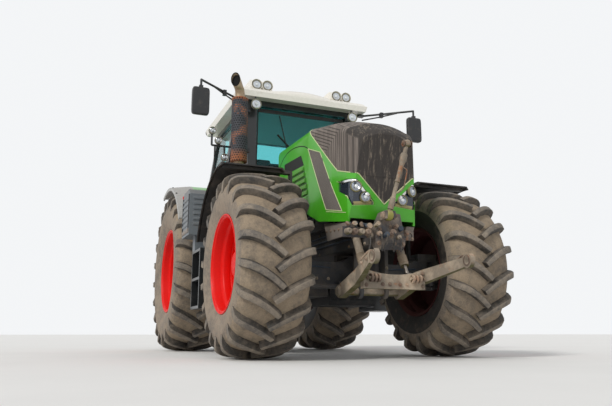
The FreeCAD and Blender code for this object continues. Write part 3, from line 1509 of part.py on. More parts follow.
def hitch_plate():
    """The casting at the tractor's nose, with a coupler plate on each side of it, and the top
    link stowed upright on it."""
    y = lambda run: front_y + run
    front, back = y(d.nose_front), y(d.frame_nose)
    side = prism("nose_side", "side", -d.nose_half, d.nose_half, [
        (back, d.frame_low),
        (back, d.frame_nose_high),
        (front + d.nose_deep, d.nose_high),
        (front, d.nose_high),
        (front, d.frame_low),
        (front + d.nose_deep, d.nose_low),
    ])
    face = prism("nose_face", "front", front, back, mirrored([
        (d.nose_half, d.nose_low),
        (d.nose_half, d.frame_low + d.nose_deep),
        (d.nose_half - d.nose_deep, d.nose_high),
    ]))
    ledge = (front + d.nose_deep, front + d.nose_deep + d.coupler_plate)
    plates = [
        box("coupler_plate_%s" % word, pair, ledge, (d.coupler_low, d.coupler_low + d.coupler_tall))
        for word, pair in (("left", (0, d.coupler_left)), ("right", (-d.coupler_right, 0)))
    ]
    middle = d.coupler_low + d.coupler_tall / 2
    couplers = [
        rod("coupler_%d" % index, "y", d.coupler_radius, ledge[0] - d.coupler_long, ledge[0],
            (d.coupler_first - d.coupler_right + d.coupler_step * index, middle))
        for index in range(COUPLERS)
    ]
    plate_eye = rod("plate_eye", "y", d.coupler_radius, *ledge, (d.coupler_left - d.coupler_first, middle))
    foot = (d.top_link_foot, y(d.top_link_foot_run), d.top_link_low)
    head = (d.top_link_head, y(d.top_link_head_run), d.top_link_high)
    inner = d.top_link_half + d.fit_gap
    outer = inner + d.top_link_radius
    cheeks = [
        box("top_cheek_%s" % word, pair, (foot[1] - d.top_link_eye, front),
            (foot[2] - d.top_link_eye, foot[2] + d.top_link_eye))
        for word, pair in (("left", (foot[0] + inner, foot[0] + outer)),
                           ("right", (foot[0] - outer, foot[0] - inner)))
    ]
    pin = rod("top_pin", "x", d.top_link_pin, foot[0] - outer, foot[0] + outer, foot[1:])
    casting = common("nose_casting", side, face)
    node("front_hitch_bracket", cut("front_hitch_bracket", fuse(
        "bracket_whole", casting, *plates, *couplers, *cheeks, pin), plate_eye))
    eye = rod("top_link_foot_eye", "x", d.top_link_eye, foot[0] - d.top_link_half,
              foot[0] + d.top_link_half, foot[1:])
    bore = rod("top_link_bore", "x", d.top_link_pin + d.fit_gap, foot[0] - outer, foot[0] + outer,
               foot[1:])
    whole = fuse("top_link_whole", bar("top_link_bar", d.top_link_radius, foot, head), eye,
                 ball("top_link_ball", d.top_link_eye, *head))
    node("front_top_link", cut("front_top_link", whole, bore))


def front_lift():
    """Cranked lower arms with open hooks on one cross shaft, raised by two rams."""
    y = lambda run: front_y + run
    pivot = (y(d.lift_pivot_run), d.lift_pivot_rise)
    boss = d.lift_boss
    side = prism("arm_side", "side", 0, d.hook_side + d.hook_radius, [
        (pivot[0], pivot[1] - boss),
        (pivot[0] + boss, pivot[1], boss, 1),
        (pivot[0], pivot[1] + boss, boss, 1),
        (y(d.knee_run), d.knee_rise + boss),
        (y(d.hook_run), d.hook_rise + d.arm_tip),
        (y(d.hook_run), d.hook_rise - d.arm_tip),
        (y(d.knee_run), d.knee_rise - boss),
    ])
    plan = prism("arm_plan", "plan", pivot[1] - boss, d.hook_rise + d.hook_radius, [
        (d.arm_in, pivot[0] + boss),
        (d.arm_in, y(d.knee_run)),
        (d.hook_side - d.arm_tip / 2, y(d.hook_run) + d.hook_radius),
        (d.hook_side - d.arm_tip / 2, y(d.hook_run)),
        (d.hook_side + d.arm_tip / 2, y(d.hook_run)),
        (d.hook_side + d.arm_tip / 2, y(d.hook_run) + d.hook_radius),
        (d.arm_out, y(d.knee_run)),
        (d.arm_out, pivot[0] + boss),
    ])
    hook = rod("hook", "x", d.hook_radius, d.hook_side - d.arm_tip / 2,
               d.hook_side + d.arm_tip / 2, (y(d.hook_run), d.hook_rise))
    hook_hole = rod("hook_hole", "x", d.hook_bore, d.arm_out, d.hook_side + d.arm_tip,
                    (y(d.hook_run), d.hook_rise))
    mouth = box("hook_mouth", (d.arm_out, d.hook_side + d.arm_tip),
                (y(d.hook_run) - d.hook_bore, y(d.hook_run) + d.hook_bore),
                (d.hook_rise, d.hook_rise + d.hook_radius))
    ram_boss = rod("ram_boss", "x", d.ram_pin * 2, d.ram_side + d.ram_eye_half + d.joint_gap, d.arm_in,
                   (y(d.ram_pin_run), d.ram_pin_rise))
    arm = cut("lift_arm", fuse("lift_arm_whole", common("arm_bar", side, plan), hook, ram_boss),
              hook_hole, mouth)
    shaft = rod("lift_shaft", "x", d.lift_shaft, -d.arm_in, d.arm_in, pivot)
    cross = prism("cross_member", "front", y(d.cross_front), y(d.cross_back), [
        (-d.cross_half, d.cross_low),
        (d.cross_half, d.cross_low),
        (d.cross_half, d.cross_high),
        (-d.cross_half, d.cross_high, d.cross_hollow, -1),
    ])
    node("front_lift_arms", fuse("front_lift_arms", both_sides("lift_arm_pair", arm), shaft, cross))


def rams():
    """Front lift rams: a tube hung on the frame, and a rod that slides in it."""
    foot = (front_y + d.ram_foot_run, d.ram_foot_rise)
    head = (front_y + d.ram_pin_run, d.ram_pin_rise)
    dy, dz = head[0] - foot[0], head[1] - foot[1]
    length = math.hypot(dy.value, dz.value)
    lean = math.degrees(math.atan2(-dy.value, -dz.value))
    turn = Rotation(Vector(1, 0, 0), 180 - lean)
    outer = doc.addObject("Part::Cylinder", "ram_shell")
    bind(outer, Radius=d.ram_radius, Height=d.ram_tube_long)
    place(outer, d.ram_side, *foot, turn=turn)
    across = (d.ram_side - d.ram_eye_half, d.ram_side + d.ram_eye_half)
    foot_eye = rod("ram_foot_eye", "x", d.ram_eye, *across, foot)
    bore = doc.addObject("Part::Cylinder", "ram_bore")
    bind(bore, Radius=d.ram_rod + d.fit_gap, Height=d.ram_tube_long)
    place(bore, d.ram_side, *foot, turn=turn)
    pin_bore = rod("ram_foot_bore", "x", d.ram_pin + d.fit_gap, 0, d.arm_in, foot)
    floor = doc.addObject("Part::Cylinder", "ram_floor")
    bind(floor, Radius=d.ram_eye, Height=d.ram_eye)
    place(floor, d.ram_side, *foot, turn=turn)
    hollow = cut("ram_hollow", bore, floor)
    tube = cut("ram_tube", fuse("ram_tube_whole", outer, foot_eye), hollow, pin_bore)
    node("ram_tubes", both_sides("ram_tubes", tube))
    unit = (dy.value / length, dz.value / length)
    start = length - d.ram_rod_long.value
    slim = doc.addObject("Part::Cylinder", "ram_slim")
    bind(slim, Radius=d.ram_rod, Height=d.ram_rod_long)
    place(slim, d.ram_side, foot[0] + unit[0] * start, foot[1] + unit[1] * start, turn=turn)
    head_eye = rod("ram_head_eye", "x", d.ram_eye, *across, head)
    node("ram_rods", both_sides("ram_rods", fuse("ram_rod", slim, head_eye)))


def rear_lift():
    """Lower links, rocker arms and lift rods, set out as a parallelogram."""
    pivot = (rear_y + d.link_pivot_run, d.link_pivot_rise)
    half = d.link_half
    tip = rear_y + d.link_pivot_run + d.link_long
    plate = box("link_bar", (d.link_in, d.link_out), (pivot[0], tip), (pivot[1] - half, pivot[1] + half))
    eyes = [
        rod("link_eye_%s" % word, "x", d.link_eye, d.link_in, d.link_out, (run, pivot[1]))
        for word, run in (("front", pivot[0]), ("back", tip))
    ]
    rod_run = pivot[0] + d.lift_arm_long
    pin_end = d.lift_rod_side + d.lift_rod_half
    pin = rod("link_rod_pin", "x", d.lift_rod_pin, d.link_out, pin_end, (rod_run, pivot[1]))
    holes = [
        rod("link_bore_front", "x", d.link_pin + d.fit_gap, d.link_in, d.link_out, pivot),
        rod("link_bore_back", "x", d.link_ball_bore, d.link_in, d.link_out, (tip, pivot[1])),
    ]
    link = cut("lower_link", fuse("lower_link_whole", plate, *eyes, pin), *holes)
    node("rear_lower_links", both_sides("rear_lower_links", link))
    centre = (pivot[0], d.lift_arm_rise)
    big, small = d.lift_rocker, d.lift_rocker_tip
    rocker = prism("rocker", "side", d.link_in, d.link_out, [
        (centre[0], centre[1] - big, big, 1),
        (rod_run, centre[1] - small),
        (rod_run + small, centre[1], small, 1),
        (rod_run, centre[1] + small, small, 1),
        (centre[0], centre[1] + big),
        (centre[0] - big, centre[1], big, 1),
    ])
    rocker_pin = rod("rocker_pin", "x", d.lift_rod_pin, d.link_out, pin_end, (rod_run, centre[1]))
    shaft = rod("lift_cross", "x", d.lift_cross_shaft, -d.link_in, d.link_in, centre)
    rockers = both_sides("rockers", fuse("rocker_left", rocker, rocker_pin))
    node("rear_lift_arms", fuse("rear_lift_arms", rockers, shaft))
    across = (d.lift_rod_side - d.lift_rod_half, pin_end)
    middle = d.lift_rod_side
    pieces = [
        rod("lift_rod_bar", "z", d.lift_rod_radius, pivot[1], centre[1], (middle, rod_run)),
        rod("lift_rod_top", "x", d.lift_rod_eye, *across, (rod_run, centre[1])),
        rod("lift_rod_foot", "x", d.lift_rod_eye, *across, (rod_run, pivot[1])),
    ]
    bores = [
        rod("lift_rod_bore_top", "x", d.lift_rod_pin + d.fit_gap, *across, (rod_run, centre[1])),
        rod("lift_rod_bore_foot", "x", d.lift_rod_pin + d.joint_gap, *across, (rod_run, pivot[1])),
    ]
    lift_rod = cut("lift_rod", fuse("lift_rod_whole", *pieces), *bores)
    node("rear_lift_rods", both_sides("rear_lift_rods", lift_rod))


wheels()
front_axle()
knuckles()
steering()
front_frame()
engine()
rear_axle()
hood()
cowl()
nose_skirt()
front_fenders()
rear_fenders()
cab()
roof()
interior()
sides()
exhaust()
mirrors()
lamps()
side_lamps()
hitch_plate()
front_lift()
rams()
rear_lift()

doc.recompute()
for thing in doc.Objects:
    if {"Invalid", "Error"} & set(thing.State):
        raise RuntimeError("%s did not build: %s" % (thing.Name, thing.State))
for name, piece in nodes.items():
    if piece.Shape.isNull() or not piece.Shape.isValid():
        raise RuntimeError("%s has no valid shape" % name)
    if piece.Shape.Volume < 1:
        raise RuntimeError("%s has no volume" % name)

os.makedirs("parts", exist_ok=True)
for name, piece in nodes.items():
    piece.Shape.exportStep("parts/%s.step" % name)
    box_of = piece.Shape.BoundBox
    print("%-22s solids %2d  x %7.0f %7.0f  y %7.0f %7.0f  z %6.0f %6.0f" % (
        name, len(piece.Shape.Solids), box_of.XMin, box_of.XMax, box_of.YMin, box_of.YMax,
        box_of.ZMin, box_of.ZMax))
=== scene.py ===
import math
import random

import bmesh
import bpy
from mathutils import Matrix, Vector
from mathutils.bvhtree import BVHTree

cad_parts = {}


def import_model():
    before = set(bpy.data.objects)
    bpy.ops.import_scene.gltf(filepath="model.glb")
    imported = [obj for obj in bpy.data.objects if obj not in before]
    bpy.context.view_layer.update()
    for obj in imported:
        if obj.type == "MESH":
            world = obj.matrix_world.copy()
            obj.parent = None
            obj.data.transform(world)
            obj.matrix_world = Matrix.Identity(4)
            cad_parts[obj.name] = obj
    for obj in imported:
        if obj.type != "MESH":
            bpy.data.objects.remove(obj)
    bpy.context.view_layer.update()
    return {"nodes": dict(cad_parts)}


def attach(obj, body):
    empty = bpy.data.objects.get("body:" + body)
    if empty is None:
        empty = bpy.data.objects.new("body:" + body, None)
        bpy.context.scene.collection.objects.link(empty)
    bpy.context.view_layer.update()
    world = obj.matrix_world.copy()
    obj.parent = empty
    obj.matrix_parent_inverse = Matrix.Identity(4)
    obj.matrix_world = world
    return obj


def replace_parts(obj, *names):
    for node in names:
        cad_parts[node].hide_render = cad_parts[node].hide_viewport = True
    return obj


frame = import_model()
scene = bpy.context.scene
nodes = frame["nodes"]

FRONT_Y = -1.43
REAR_Y = 1.62
FRONT_X = 1.0165
REAR_X = 1.0065
FRONT_R = 0.852
REAR_R = 1.065
ROOF_TOP = 3.299
STACK_X = -0.87
STACK_Y = -0.305
UP = Vector((0, 0, 1))
AHEAD = (0, -1, 0)
REARWARD = (0, 1, 0)
DOWN = (0, 0, -1)


# Materials

class Graph:
    """A small helper that adds shader nodes and joins them."""

    def __init__(self, name):
        self.mat = bpy.data.materials.new(name)
        self.mat.use_nodes = True
        self.tree = self.mat.node_tree
        self.shader = self.tree.nodes["Principled BSDF"]
        coord = self.tree.nodes.new("ShaderNodeTexCoord")
        self.place = coord.outputs["Object"]

    def node(self, kind, **values):
        made = self.tree.nodes.new("ShaderNode" + kind)
        for key, value in values.items():
            setattr(made, key, value)
        return made

    def join(self, a, b):
        self.tree.links.new(a, b)

    def stretched(self, factors):
        mapping = self.node("Mapping")
        mapping.inputs["Scale"].default_value = factors
        self.join(self.place, mapping.inputs["Vector"])
        return mapping.outputs["Vector"]

    def noise(self, scale, detail=6.0, rough=0.6, place=None):
        made = self.node("TexNoise")
        made.inputs["Scale"].default_value = scale
        made.inputs["Detail"].default_value = detail
        made.inputs["Roughness"].default_value = rough
        self.join(place or self.place, made.inputs["Vector"])
        return made.outputs["Fac"]

    def step(self, fac, low, high, start=0.0, end=1.0):
        made = self.node("MapRange")
        made.inputs["From Min"].default_value = low
        made.inputs["From Max"].default_value = high
        made.inputs["To Min"].default_value = start
        made.inputs["To Max"].default_value = end
        self.join(fac, made.inputs["Value"])
        return made.outputs["Result"]

    def math(self, kind, a, b=None, clamp=False):
        made = self.node("Math", operation=kind, use_clamp=clamp)
        for i, value in enumerate((a, b)):
            if value is None:
                continue
            if isinstance(value, (int, float)):
                made.inputs[i].default_value = value
            else:
                self.join(value, made.inputs[i])
        return made.outputs[0]

    def times(self, a, b):
        return self.math("MULTIPLY", a, b)

    def plus(self, a, b, clamp=False):
        return self.math("ADD", a, b, clamp)

    def minus(self, a, b):
        return self.math("SUBTRACT", a, b)

    def mix(self, fac, a, b):
        made = self.node("Mix", data_type="RGBA")
        for socket, value in ((made.inputs[0], fac), (made.inputs[6], a), (made.inputs[7], b)):
            if isinstance(value, (int, float)):
                socket.default_value = value
            elif isinstance(value, tuple):
                socket.default_value = (*value, 1)
            else:
                self.join(value, socket)
        return made.outputs[2]

    def axis(self, i):
        made = self.node("SeparateXYZ")
        self.join(self.place, made.inputs[0])
        return made.outputs[i]

    def upward(self):
        geo = self.node("NewGeometry")
        made = self.node("SeparateXYZ")
        self.join(geo.outputs["Normal"], made.inputs[0])
        return made.outputs[2]

    def bump(self, height, strength, distance=0.002, under=None):
        made = self.node("Bump")
        made.inputs["Strength"].default_value = strength
        made.inputs["Distance"].default_value = distance
        self.join(height, made.inputs["Height"])
        if under is not None:
            self.join(under, made.inputs["Normal"])
        return made.outputs["Normal"]

    def set(self, name, value):
        socket = self.shader.inputs[name]
        if isinstance(value, (int, float)):
            socket.default_value = value
        elif isinstance(value, tuple):
            socket.default_value = (*value, 1) if len(value) == 3 else value
        else:
            self.join(value, socket)


def coated(name, colour, dust, amount=0.35, rough=0.35, metal=0.0, coat=0.0, scale=5.0,
           settled=0.35, grain=180.0, grit=0.12, sheen=None):
    """A painted, cast or moulded surface with blotchy dust that settles on what faces up."""
    g = Graph(name)
    blotch = g.noise(scale, 9.0, 0.68)
    fine = g.noise(scale * 9.0, 6.0, 0.6)
    both = g.plus(g.times(blotch, 0.72), g.times(fine, 0.28))
    top = g.times(g.step(g.upward(), 0.2, 0.95), settled)
    cover = g.plus(g.step(both, 0.62 - amount * 0.45, 0.86 - amount * 0.35), top)
    cover = g.times(g.math("MINIMUM", cover, 1.0), min(0.96, amount + 0.42))
    shade = g.mix(g.step(fine, 0.3, 0.7, 0.0, 0.35), colour, tuple(c * 0.72 for c in colour))
    tint = g.mix(g.step(fine, 0.35, 0.65), dust, tuple(c * 0.8 for c in dust))
    g.set("Base Color", g.mix(cover, shade, tint))
    g.set("Roughness", g.plus(g.times(cover, 0.9 - rough), rough, clamp=True))
    g.set("Metallic", metal)
    if sheen is not None:
        g.set("Specular IOR Level", sheen)
    if coat:
        g.set("Coat Weight", coat)
        g.set("Coat Roughness", 0.12)
    g.set("Normal", g.bump(g.plus(g.noise(grain, 3.0), g.times(both, 0.6)), grit))
    return g.mat


DUST = (0.36, 0.285, 0.215)
SAND = (0.46, 0.365, 0.27)


def tyre_rubber(name, colour, dust, amount, dark=0.45):
    """Dusty rubber: dried soil in blotches over a darker worn surface."""
    g = Graph(name)
    big = g.noise(3.2, 8.0, 0.65)
    mid = g.noise(14.0, 8.0, 0.7)
    fine = g.noise(70.0, 6.0, 0.65)
    blend = g.plus(g.times(big, 0.5), g.times(mid, 0.5))
    cover = g.step(blend, 0.6 - amount * 0.38, 0.7 - amount * 0.22)
    rubber = g.mix(g.step(fine, 0.3, 0.7), colour, tuple(c * dark for c in colour))
    soil = g.mix(g.step(fine, 0.28, 0.72), dust, tuple(c * 0.74 for c in dust))
    g.set("Base Color", g.mix(g.times(cover, 0.93), rubber, soil))
    g.set("Roughness", g.step(cover, 0.0, 1.0, 0.66, 0.95))
    rough = g.bump(fine, 0.35, 0.003)
    g.set("Normal", g.bump(g.noise(26.0, 8.0, 0.75), 0.3, 0.008, rough))
    return g.mat


def rusty_steel(name, colour=(0.2, 0.15, 0.115), rust=(0.36, 0.13, 0.045), dust=(0.42, 0.33, 0.24),
                under=None):
    """Old paint gone to rust and dried soil."""
    g = Graph(name)
    big = g.noise(7.0, 9.0, 0.7)
    mid = g.noise(30.0, 8.0, 0.7)
    blend = g.plus(g.times(big, 0.6), g.times(mid, 0.4))
    base = g.mix(g.step(blend, 0.53, 0.62), colour, rust)
    soil = g.plus(g.step(g.noise(4.2, 9.0, 0.66), 0.47, 0.66),
                  g.times(g.step(g.upward(), 0.3, 0.95), 0.5))
    skin = g.mix(g.times(g.math("MINIMUM", soil, 1.0), 0.85), base, dust)
    if under is not None:
        below = g.times(g.step(g.upward(), -0.35, -0.8), g.step(big, 0.3, 0.55, 0.55, 1.0))
        skin = g.mix(below, skin, under)
    g.set("Base Color", skin)
    g.set("Roughness", g.step(blend, 0.3, 0.7, 0.62, 0.93))
    g.set("Metallic", 0.15)
    g.set("Normal", g.bump(g.plus(mid, g.noise(120.0, 4.0)), 0.45, 0.004))
    return g.mat


def ribbed_mesh(name, colour, dark, pitch):
    """Moulded grille ribs. On the sides each rib runs back level, turns a corner and drops."""
    g = Graph(name)
    y, z, x = g.axis(1), g.axis(2), g.axis(0)
    geo = g.node("NewGeometry")
    parts = g.node("SeparateXYZ")
    g.join(geo.outputs["Normal"], parts.inputs[0])
    ny = g.math("ABSOLUTE", parts.outputs[1])
    nz = g.math("ABSOLUTE", parts.outputs[2])
    ahead = g.minus(-2.15, y)
    above = g.minus(g.minus(z, 2.18), g.times(g.plus(y, 2.15), 0.44))
    side = g.math("MAXIMUM", ahead, above)
    across = g.math("ABSOLUTE", x)
    facing = g.step(ny, 0.52, 0.6)
    roof = g.step(nz, 0.62, 0.7)
    line = g.plus(g.times(side, g.minus(1.0, roof)), g.times(across, roof))
    line = g.plus(g.times(line, g.minus(1.0, facing)), g.times(across, facing))
    wave = g.math("SINE", g.times(line, 2 * math.pi / pitch))
    groove = g.step(wave, -0.9, -0.35)
    groove = g.math("MAXIMUM", groove, g.times(facing, 0.75))
    holes = g.math("SINE", g.times(z, 2 * math.pi / (pitch * 0.42)))
    streak = g.noise(1.0, 8.0, 0.7, g.stretched((26.0, 26.0, 2.2)))
    soil = g.step(streak, 0.44, 0.6)
    dirty = g.mix(soil, dark, colour)
    front = g.mix(g.times(facing, 0.9), dirty, (0.03, 0.026, 0.024))
    pale = g.step(g.noise(1.0, 7.0, 0.72, g.stretched((40.0, 40.0, 2.6))), 0.53, 0.68)
    front = g.mix(g.times(g.times(pale, facing), 0.75), front, (0.33, 0.27, 0.21))
    g.set("Base Color", g.mix(g.times(g.minus(1.0, groove), 0.78), front, (0.035, 0.031, 0.028)))
    g.set("Roughness", 0.86)
    fine = g.bump(holes, 0.12, 0.001)
    g.set("Normal", g.bump(groove, 0.9, 0.006, fine))
    return g.mat


def vent_mesh(name):
    """A fine slanted weave, grey-brown with dust."""
    g = Graph(name)
    y, z = g.axis(1), g.axis(2)
    slant = g.plus(y, g.times(z, -0.42))
    ribs = g.math("SINE", g.times(slant, 2 * math.pi / 0.011))
    rows = g.math("SINE", g.times(z, 2 * math.pi / 0.009))
    cloth = g.times(g.step(ribs, -0.5, 0.6), g.step(rows, -0.9, 0.3, 0.72, 1.0))
    dusty = g.mix(g.step(g.noise(3.0, 8.0, 0.7), 0.35, 0.65), (0.255, 0.225, 0.2), (0.18, 0.155, 0.14))
    g.set("Base Color", g.mix(cloth, (0.1, 0.09, 0.082), dusty))
    g.set("Roughness", 0.85)
    g.set("Normal", g.bump(cloth, 0.5, 0.002))
    return g.mat


def pierced_shield(name):
    """A perforated tube: rows of staggered holes, black paint and patches of rust."""
    g = Graph(name)
    x = g.minus(g.axis(0), STACK_X)
    y = g.minus(g.axis(1), STACK_Y)
    lap = g.times(g.math("ARCTAN2", y, x), 20 / (2 * math.pi))
    rise = g.times(g.axis(2), 1 / 0.0275)
    row = g.math("FLOOR", rise)
    shift = g.times(g.math("MODULO", row, 2.0), 0.5)
    u = g.minus(g.math("FRACT", g.plus(g.plus(lap, shift), 100.0)), 0.5)
    v = g.minus(g.math("FRACT", rise), 0.5)
    far = g.plus(g.times(u, u), g.times(v, v))
    hole = g.step(far, 0.15, 0.1)
    patch = g.step(g.noise(5.5, 5.0, 0.6), 0.52, 0.6)
    low = g.step(g.axis(2), 2.3, 2.2)
    high = g.step(g.axis(2), 2.885, 2.895)
    rust = g.math("MAXIMUM", low, high)
    fine = g.noise(60.0, 6.0, 0.7)
    paint = g.mix(fine, (0.04, 0.044, 0.055), (0.085, 0.088, 0.1))
    burnt = g.mix(fine, (0.5, 0.17, 0.055), (0.3, 0.1, 0.045))
    skin = g.mix(g.times(rust, 0.85), paint, burnt)
    through = g.mix(patch, (0.008, 0.008, 0.009), burnt)
    g.set("Base Color", g.mix(g.times(hole, 0.9), skin, through))
    g.set("Roughness", 0.75)
    g.set("Metallic", 0.2)
    g.set("Normal", g.bump(hole, -0.6, 0.003))
    return g.mat


def glass(name, colour, rough=0.02):
    """Tinted clear glass with a faint smear."""
    g = Graph(name)
    g.set("Base Color", colour)
    g.set("Transmission Weight", 1.0)
    g.set("IOR", 1.2)
    smear = g.noise(2.5, 6.0, 0.6)
    g.set("Roughness", g.step(smear, 0.3, 0.8, rough, rough + 0.05))
    return g.mat


def bright(name, colour, rough=0.12):
    """Plated or polished metal with a film of dust."""
    g = Graph(name)
    g.set("Base Color", g.mix(g.step(g.noise(12.0, 6.0), 0.45, 0.75, 0.0, 0.5), colour, DUST))
    g.set("Metallic", 1.0)
    g.set("Roughness", g.step(g.noise(30.0, 5.0), 0.3, 0.7, rough, rough + 0.15))
    return g.mat


def fabric(name, colour):
    """A plain woven seat cloth."""
    g = Graph(name)
    x, y, z = g.axis(0), g.axis(1), g.axis(2)
    warp = g.math("SINE", g.times(x, 2 * math.pi / 0.005))
    weft = g.math("SINE", g.times(g.plus(y, z), 2 * math.pi / 0.005))
    weave = g.times(warp, weft)
    g.set("Base Color", g.mix(g.step(weave, -1.0, 1.0), colour, tuple(c * 0.6 for c in colour)))
    g.set("Roughness", 0.92)
    g.set("Sheen Weight", 0.3)
    g.set("Normal", g.bump(weave, 0.4, 0.001))
    return g.mat


GREEN = (0.072, 0.43, 0.018)
M = {
    "green": coated("hood_green", GREEN, (0.24, 0.34, 0.14), 0.06, 0.28, coat=0.25, scale=2.6, settled=0.1,
                    grain=14.0, grit=0.02),
    "arm": rusty_steel("dusty_arm", (0.24, 0.2, 0.155), (0.32, 0.15, 0.075), (0.54, 0.44, 0.33),
                       under=(0.085, 0.078, 0.022)),
    "rust": rusty_steel("rusty_cast", (0.15, 0.105, 0.08), (0.34, 0.125, 0.05), (0.5, 0.38, 0.28)),
    "olive": coated("olive_paint", (0.28, 0.27, 0.05), DUST, 0.35, 0.5, scale=16.0),
    "pipe": coated("blue_pipe", (0.03, 0.048, 0.075), (0.18, 0.17, 0.16), 0.3, 0.45, scale=18.0),
    "boot": coated("tan_boot", (0.3, 0.235, 0.165), SAND, 0.45, 0.8, scale=22.0, grit=0.3),
    "louvre": coated("louvre_green", (0.09, 0.36, 0.035), DUST, 0.3, 0.4, scale=9.0),
    "red": coated("rim_red", (0.76, 0.004, 0.001), (0.5, 0.08, 0.04), 0.08, 0.42, scale=5.0, settled=0.03,
                  grain=20.0, grit=0.03, sheen=0.25),
    # Near-black red as painted shade inside the rim: the inboard half of the barrel and the back of the disc.
    "rim_inner_shade": coated("rim_back_red", (0.06, 0.004, 0.004), (0.08, 0.04, 0.03), 0.3, 0.7, scale=5.0),
    # Near-black rubber as painted shade on the lower inboard sidewall.
    "inner_wall_shade": tyre_rubber("tyre_inner_wall", (0.036, 0.032, 0.029), (0.16, 0.125, 0.095), 0.3),
    # Pale green painted highlight for the hood's edges.
    "edge_highlight": coated("painted_edge_highlight", (0.62, 0.7, 0.36), (0.45, 0.42, 0.28), 0.3, 0.4, scale=9.0),
    "gap": coated("gap_black", (0.012, 0.013, 0.012), (0.08, 0.07, 0.055), 0.15, 0.7, scale=9.0),
    # Dark green painted shade behind the louvres.
    "shade": coated("painted_shade_green", (0.03, 0.115, 0.016), (0.1, 0.1, 0.06), 0.2, 0.6, scale=9.0),
    "ring": coated("lamp_bezel", (0.23, 0.22, 0.17), (0.5, 0.45, 0.3), 0.4, 0.4, scale=20.0),
    "reflector": bright("lamp_reflector", (0.62, 0.66, 0.7), 0.1),
    "ochre": coated("headlamp_ring", (0.2, 0.18, 0.085), (0.4, 0.36, 0.22), 0.3, 0.4, scale=20.0),
    "dish": bright("headlamp_dish", (0.34, 0.38, 0.44), 0.14),
    "bulb": coated("lamp_bulb", (0.8, 0.84, 0.86), (0.6, 0.55, 0.42), 0.18, 0.15, coat=0.6, scale=30.0),
    "amber": coated("lamp_amber", (0.36, 0.3, 0.13), (0.4, 0.35, 0.22), 0.25, 0.3, scale=18.0),
    "cast": coated("cast_grey", (0.048, 0.05, 0.055), (0.19, 0.155, 0.12), 0.42, 0.6, scale=5.0, grit=0.4,
                   grain=90.0),
    "steel": rusty_steel("dusty_steel"),
    "bracket": rusty_steel("hitch_bracket", (0.07, 0.068, 0.072), (0.26, 0.12, 0.06), (0.36, 0.29, 0.225)),
    "rod": bright("bright_rod", (0.3, 0.27, 0.24), 0.35),
    "chrome": bright("lamp_chrome", (0.9, 0.91, 0.93), 0.06),
    "bowl": coated("lamp_bowl", (0.03, 0.04, 0.06), (0.2, 0.22, 0.25), 0.22, 0.12, metal=0.3, coat=0.8,
                   scale=11.0, settled=0.7, grain=14.0, grit=0.25),
    "mesh": ribbed_mesh("grille_mesh", (0.235, 0.2, 0.175), (0.15, 0.125, 0.11), 0.034),
    "vent": vent_mesh("side_vent"),
    "grey": coated("grey_plastic", (0.215, 0.19, 0.175), DUST, 0.45, 0.6, scale=4.0, grit=0.2),
    "pale": coated("pale_plastic", (0.42, 0.42, 0.41), (0.42, 0.36, 0.3), 0.22, 0.5, scale=4.0),
    "slate": coated("slate_plastic", (0.16, 0.18, 0.2), DUST, 0.25, 0.5, scale=5.0),
    "black": coated("black_plastic", (0.022, 0.023, 0.025), (0.2, 0.165, 0.135), 0.22, 0.42, scale=6.0,
                    grit=0.2),
    "guard": coated("guard_plastic", (0.028, 0.027, 0.027), (0.2, 0.16, 0.125), 0.34, 0.5, scale=5.0,
                    grit=0.25, settled=0.55),
    "cab": coated("cab_black", (0.02, 0.022, 0.024), (0.2, 0.17, 0.14), 0.14, 0.3, coat=0.2, scale=5.0),
    "white": coated("roof_white", (0.86, 0.83, 0.76), (0.62, 0.55, 0.45), 0.16, 0.35, coat=0.3, scale=3.0,
                    settled=0.1, grain=20.0, grit=0.02),
    "shield": pierced_shield("heat_shield"),
    "tan": coated("tan_metal", (0.44, 0.33, 0.22), (0.3, 0.2, 0.12), 0.35, 0.5, metal=0.4, scale=14.0),
    "soot": coated("stack_soot", (0.006, 0.006, 0.006), (0.012, 0.011, 0.01), 0.1, 0.95, scale=12.0),
    "glass": glass("tinted_glass", (0.36, 0.76, 0.78)),
    "mirror": bright("mirror_face", (0.75, 0.78, 0.8), 0.03),
    "seat": fabric("seat_fabric", (0.085, 0.085, 0.09)),
    # Painted light: a pale teal that stands in for the window light and sky reflections on the cab's ceiling.
    "lining": coated("cab_lining_painted_light", (0.72, 0.86, 0.86), (0.6, 0.66, 0.64), 0.1, 0.8, scale=6.0),
    "orange": coated("marker_orange", (0.75, 0.22, 0.02), DUST, 0.15, 0.3, scale=8.0),
    "tail": coated("marker_red", (0.6, 0.02, 0.015), DUST, 0.15, 0.3, scale=8.0),
    "rubber": coated("hose_rubber", (0.03, 0.03, 0.03), DUST, 0.3, 0.6, scale=14.0),
    "wall": tyre_rubber("tyre_wall", (0.165, 0.14, 0.118), (0.335, 0.272, 0.208), 0.66),
    "lug": tyre_rubber("tyre_lug", (0.15, 0.134, 0.118), (0.33, 0.275, 0.215), 0.5),
    # Darker rubber as painted shade on the lugs' flanks.
    "flank": tyre_rubber("tyre_flank_painted_shade", (0.052, 0.047, 0.042), (0.2, 0.165, 0.13), 0.42),
    "floor": tyre_rubber("tyre_floor", (0.135, 0.115, 0.095), (0.37, 0.29, 0.205), 0.72),
}

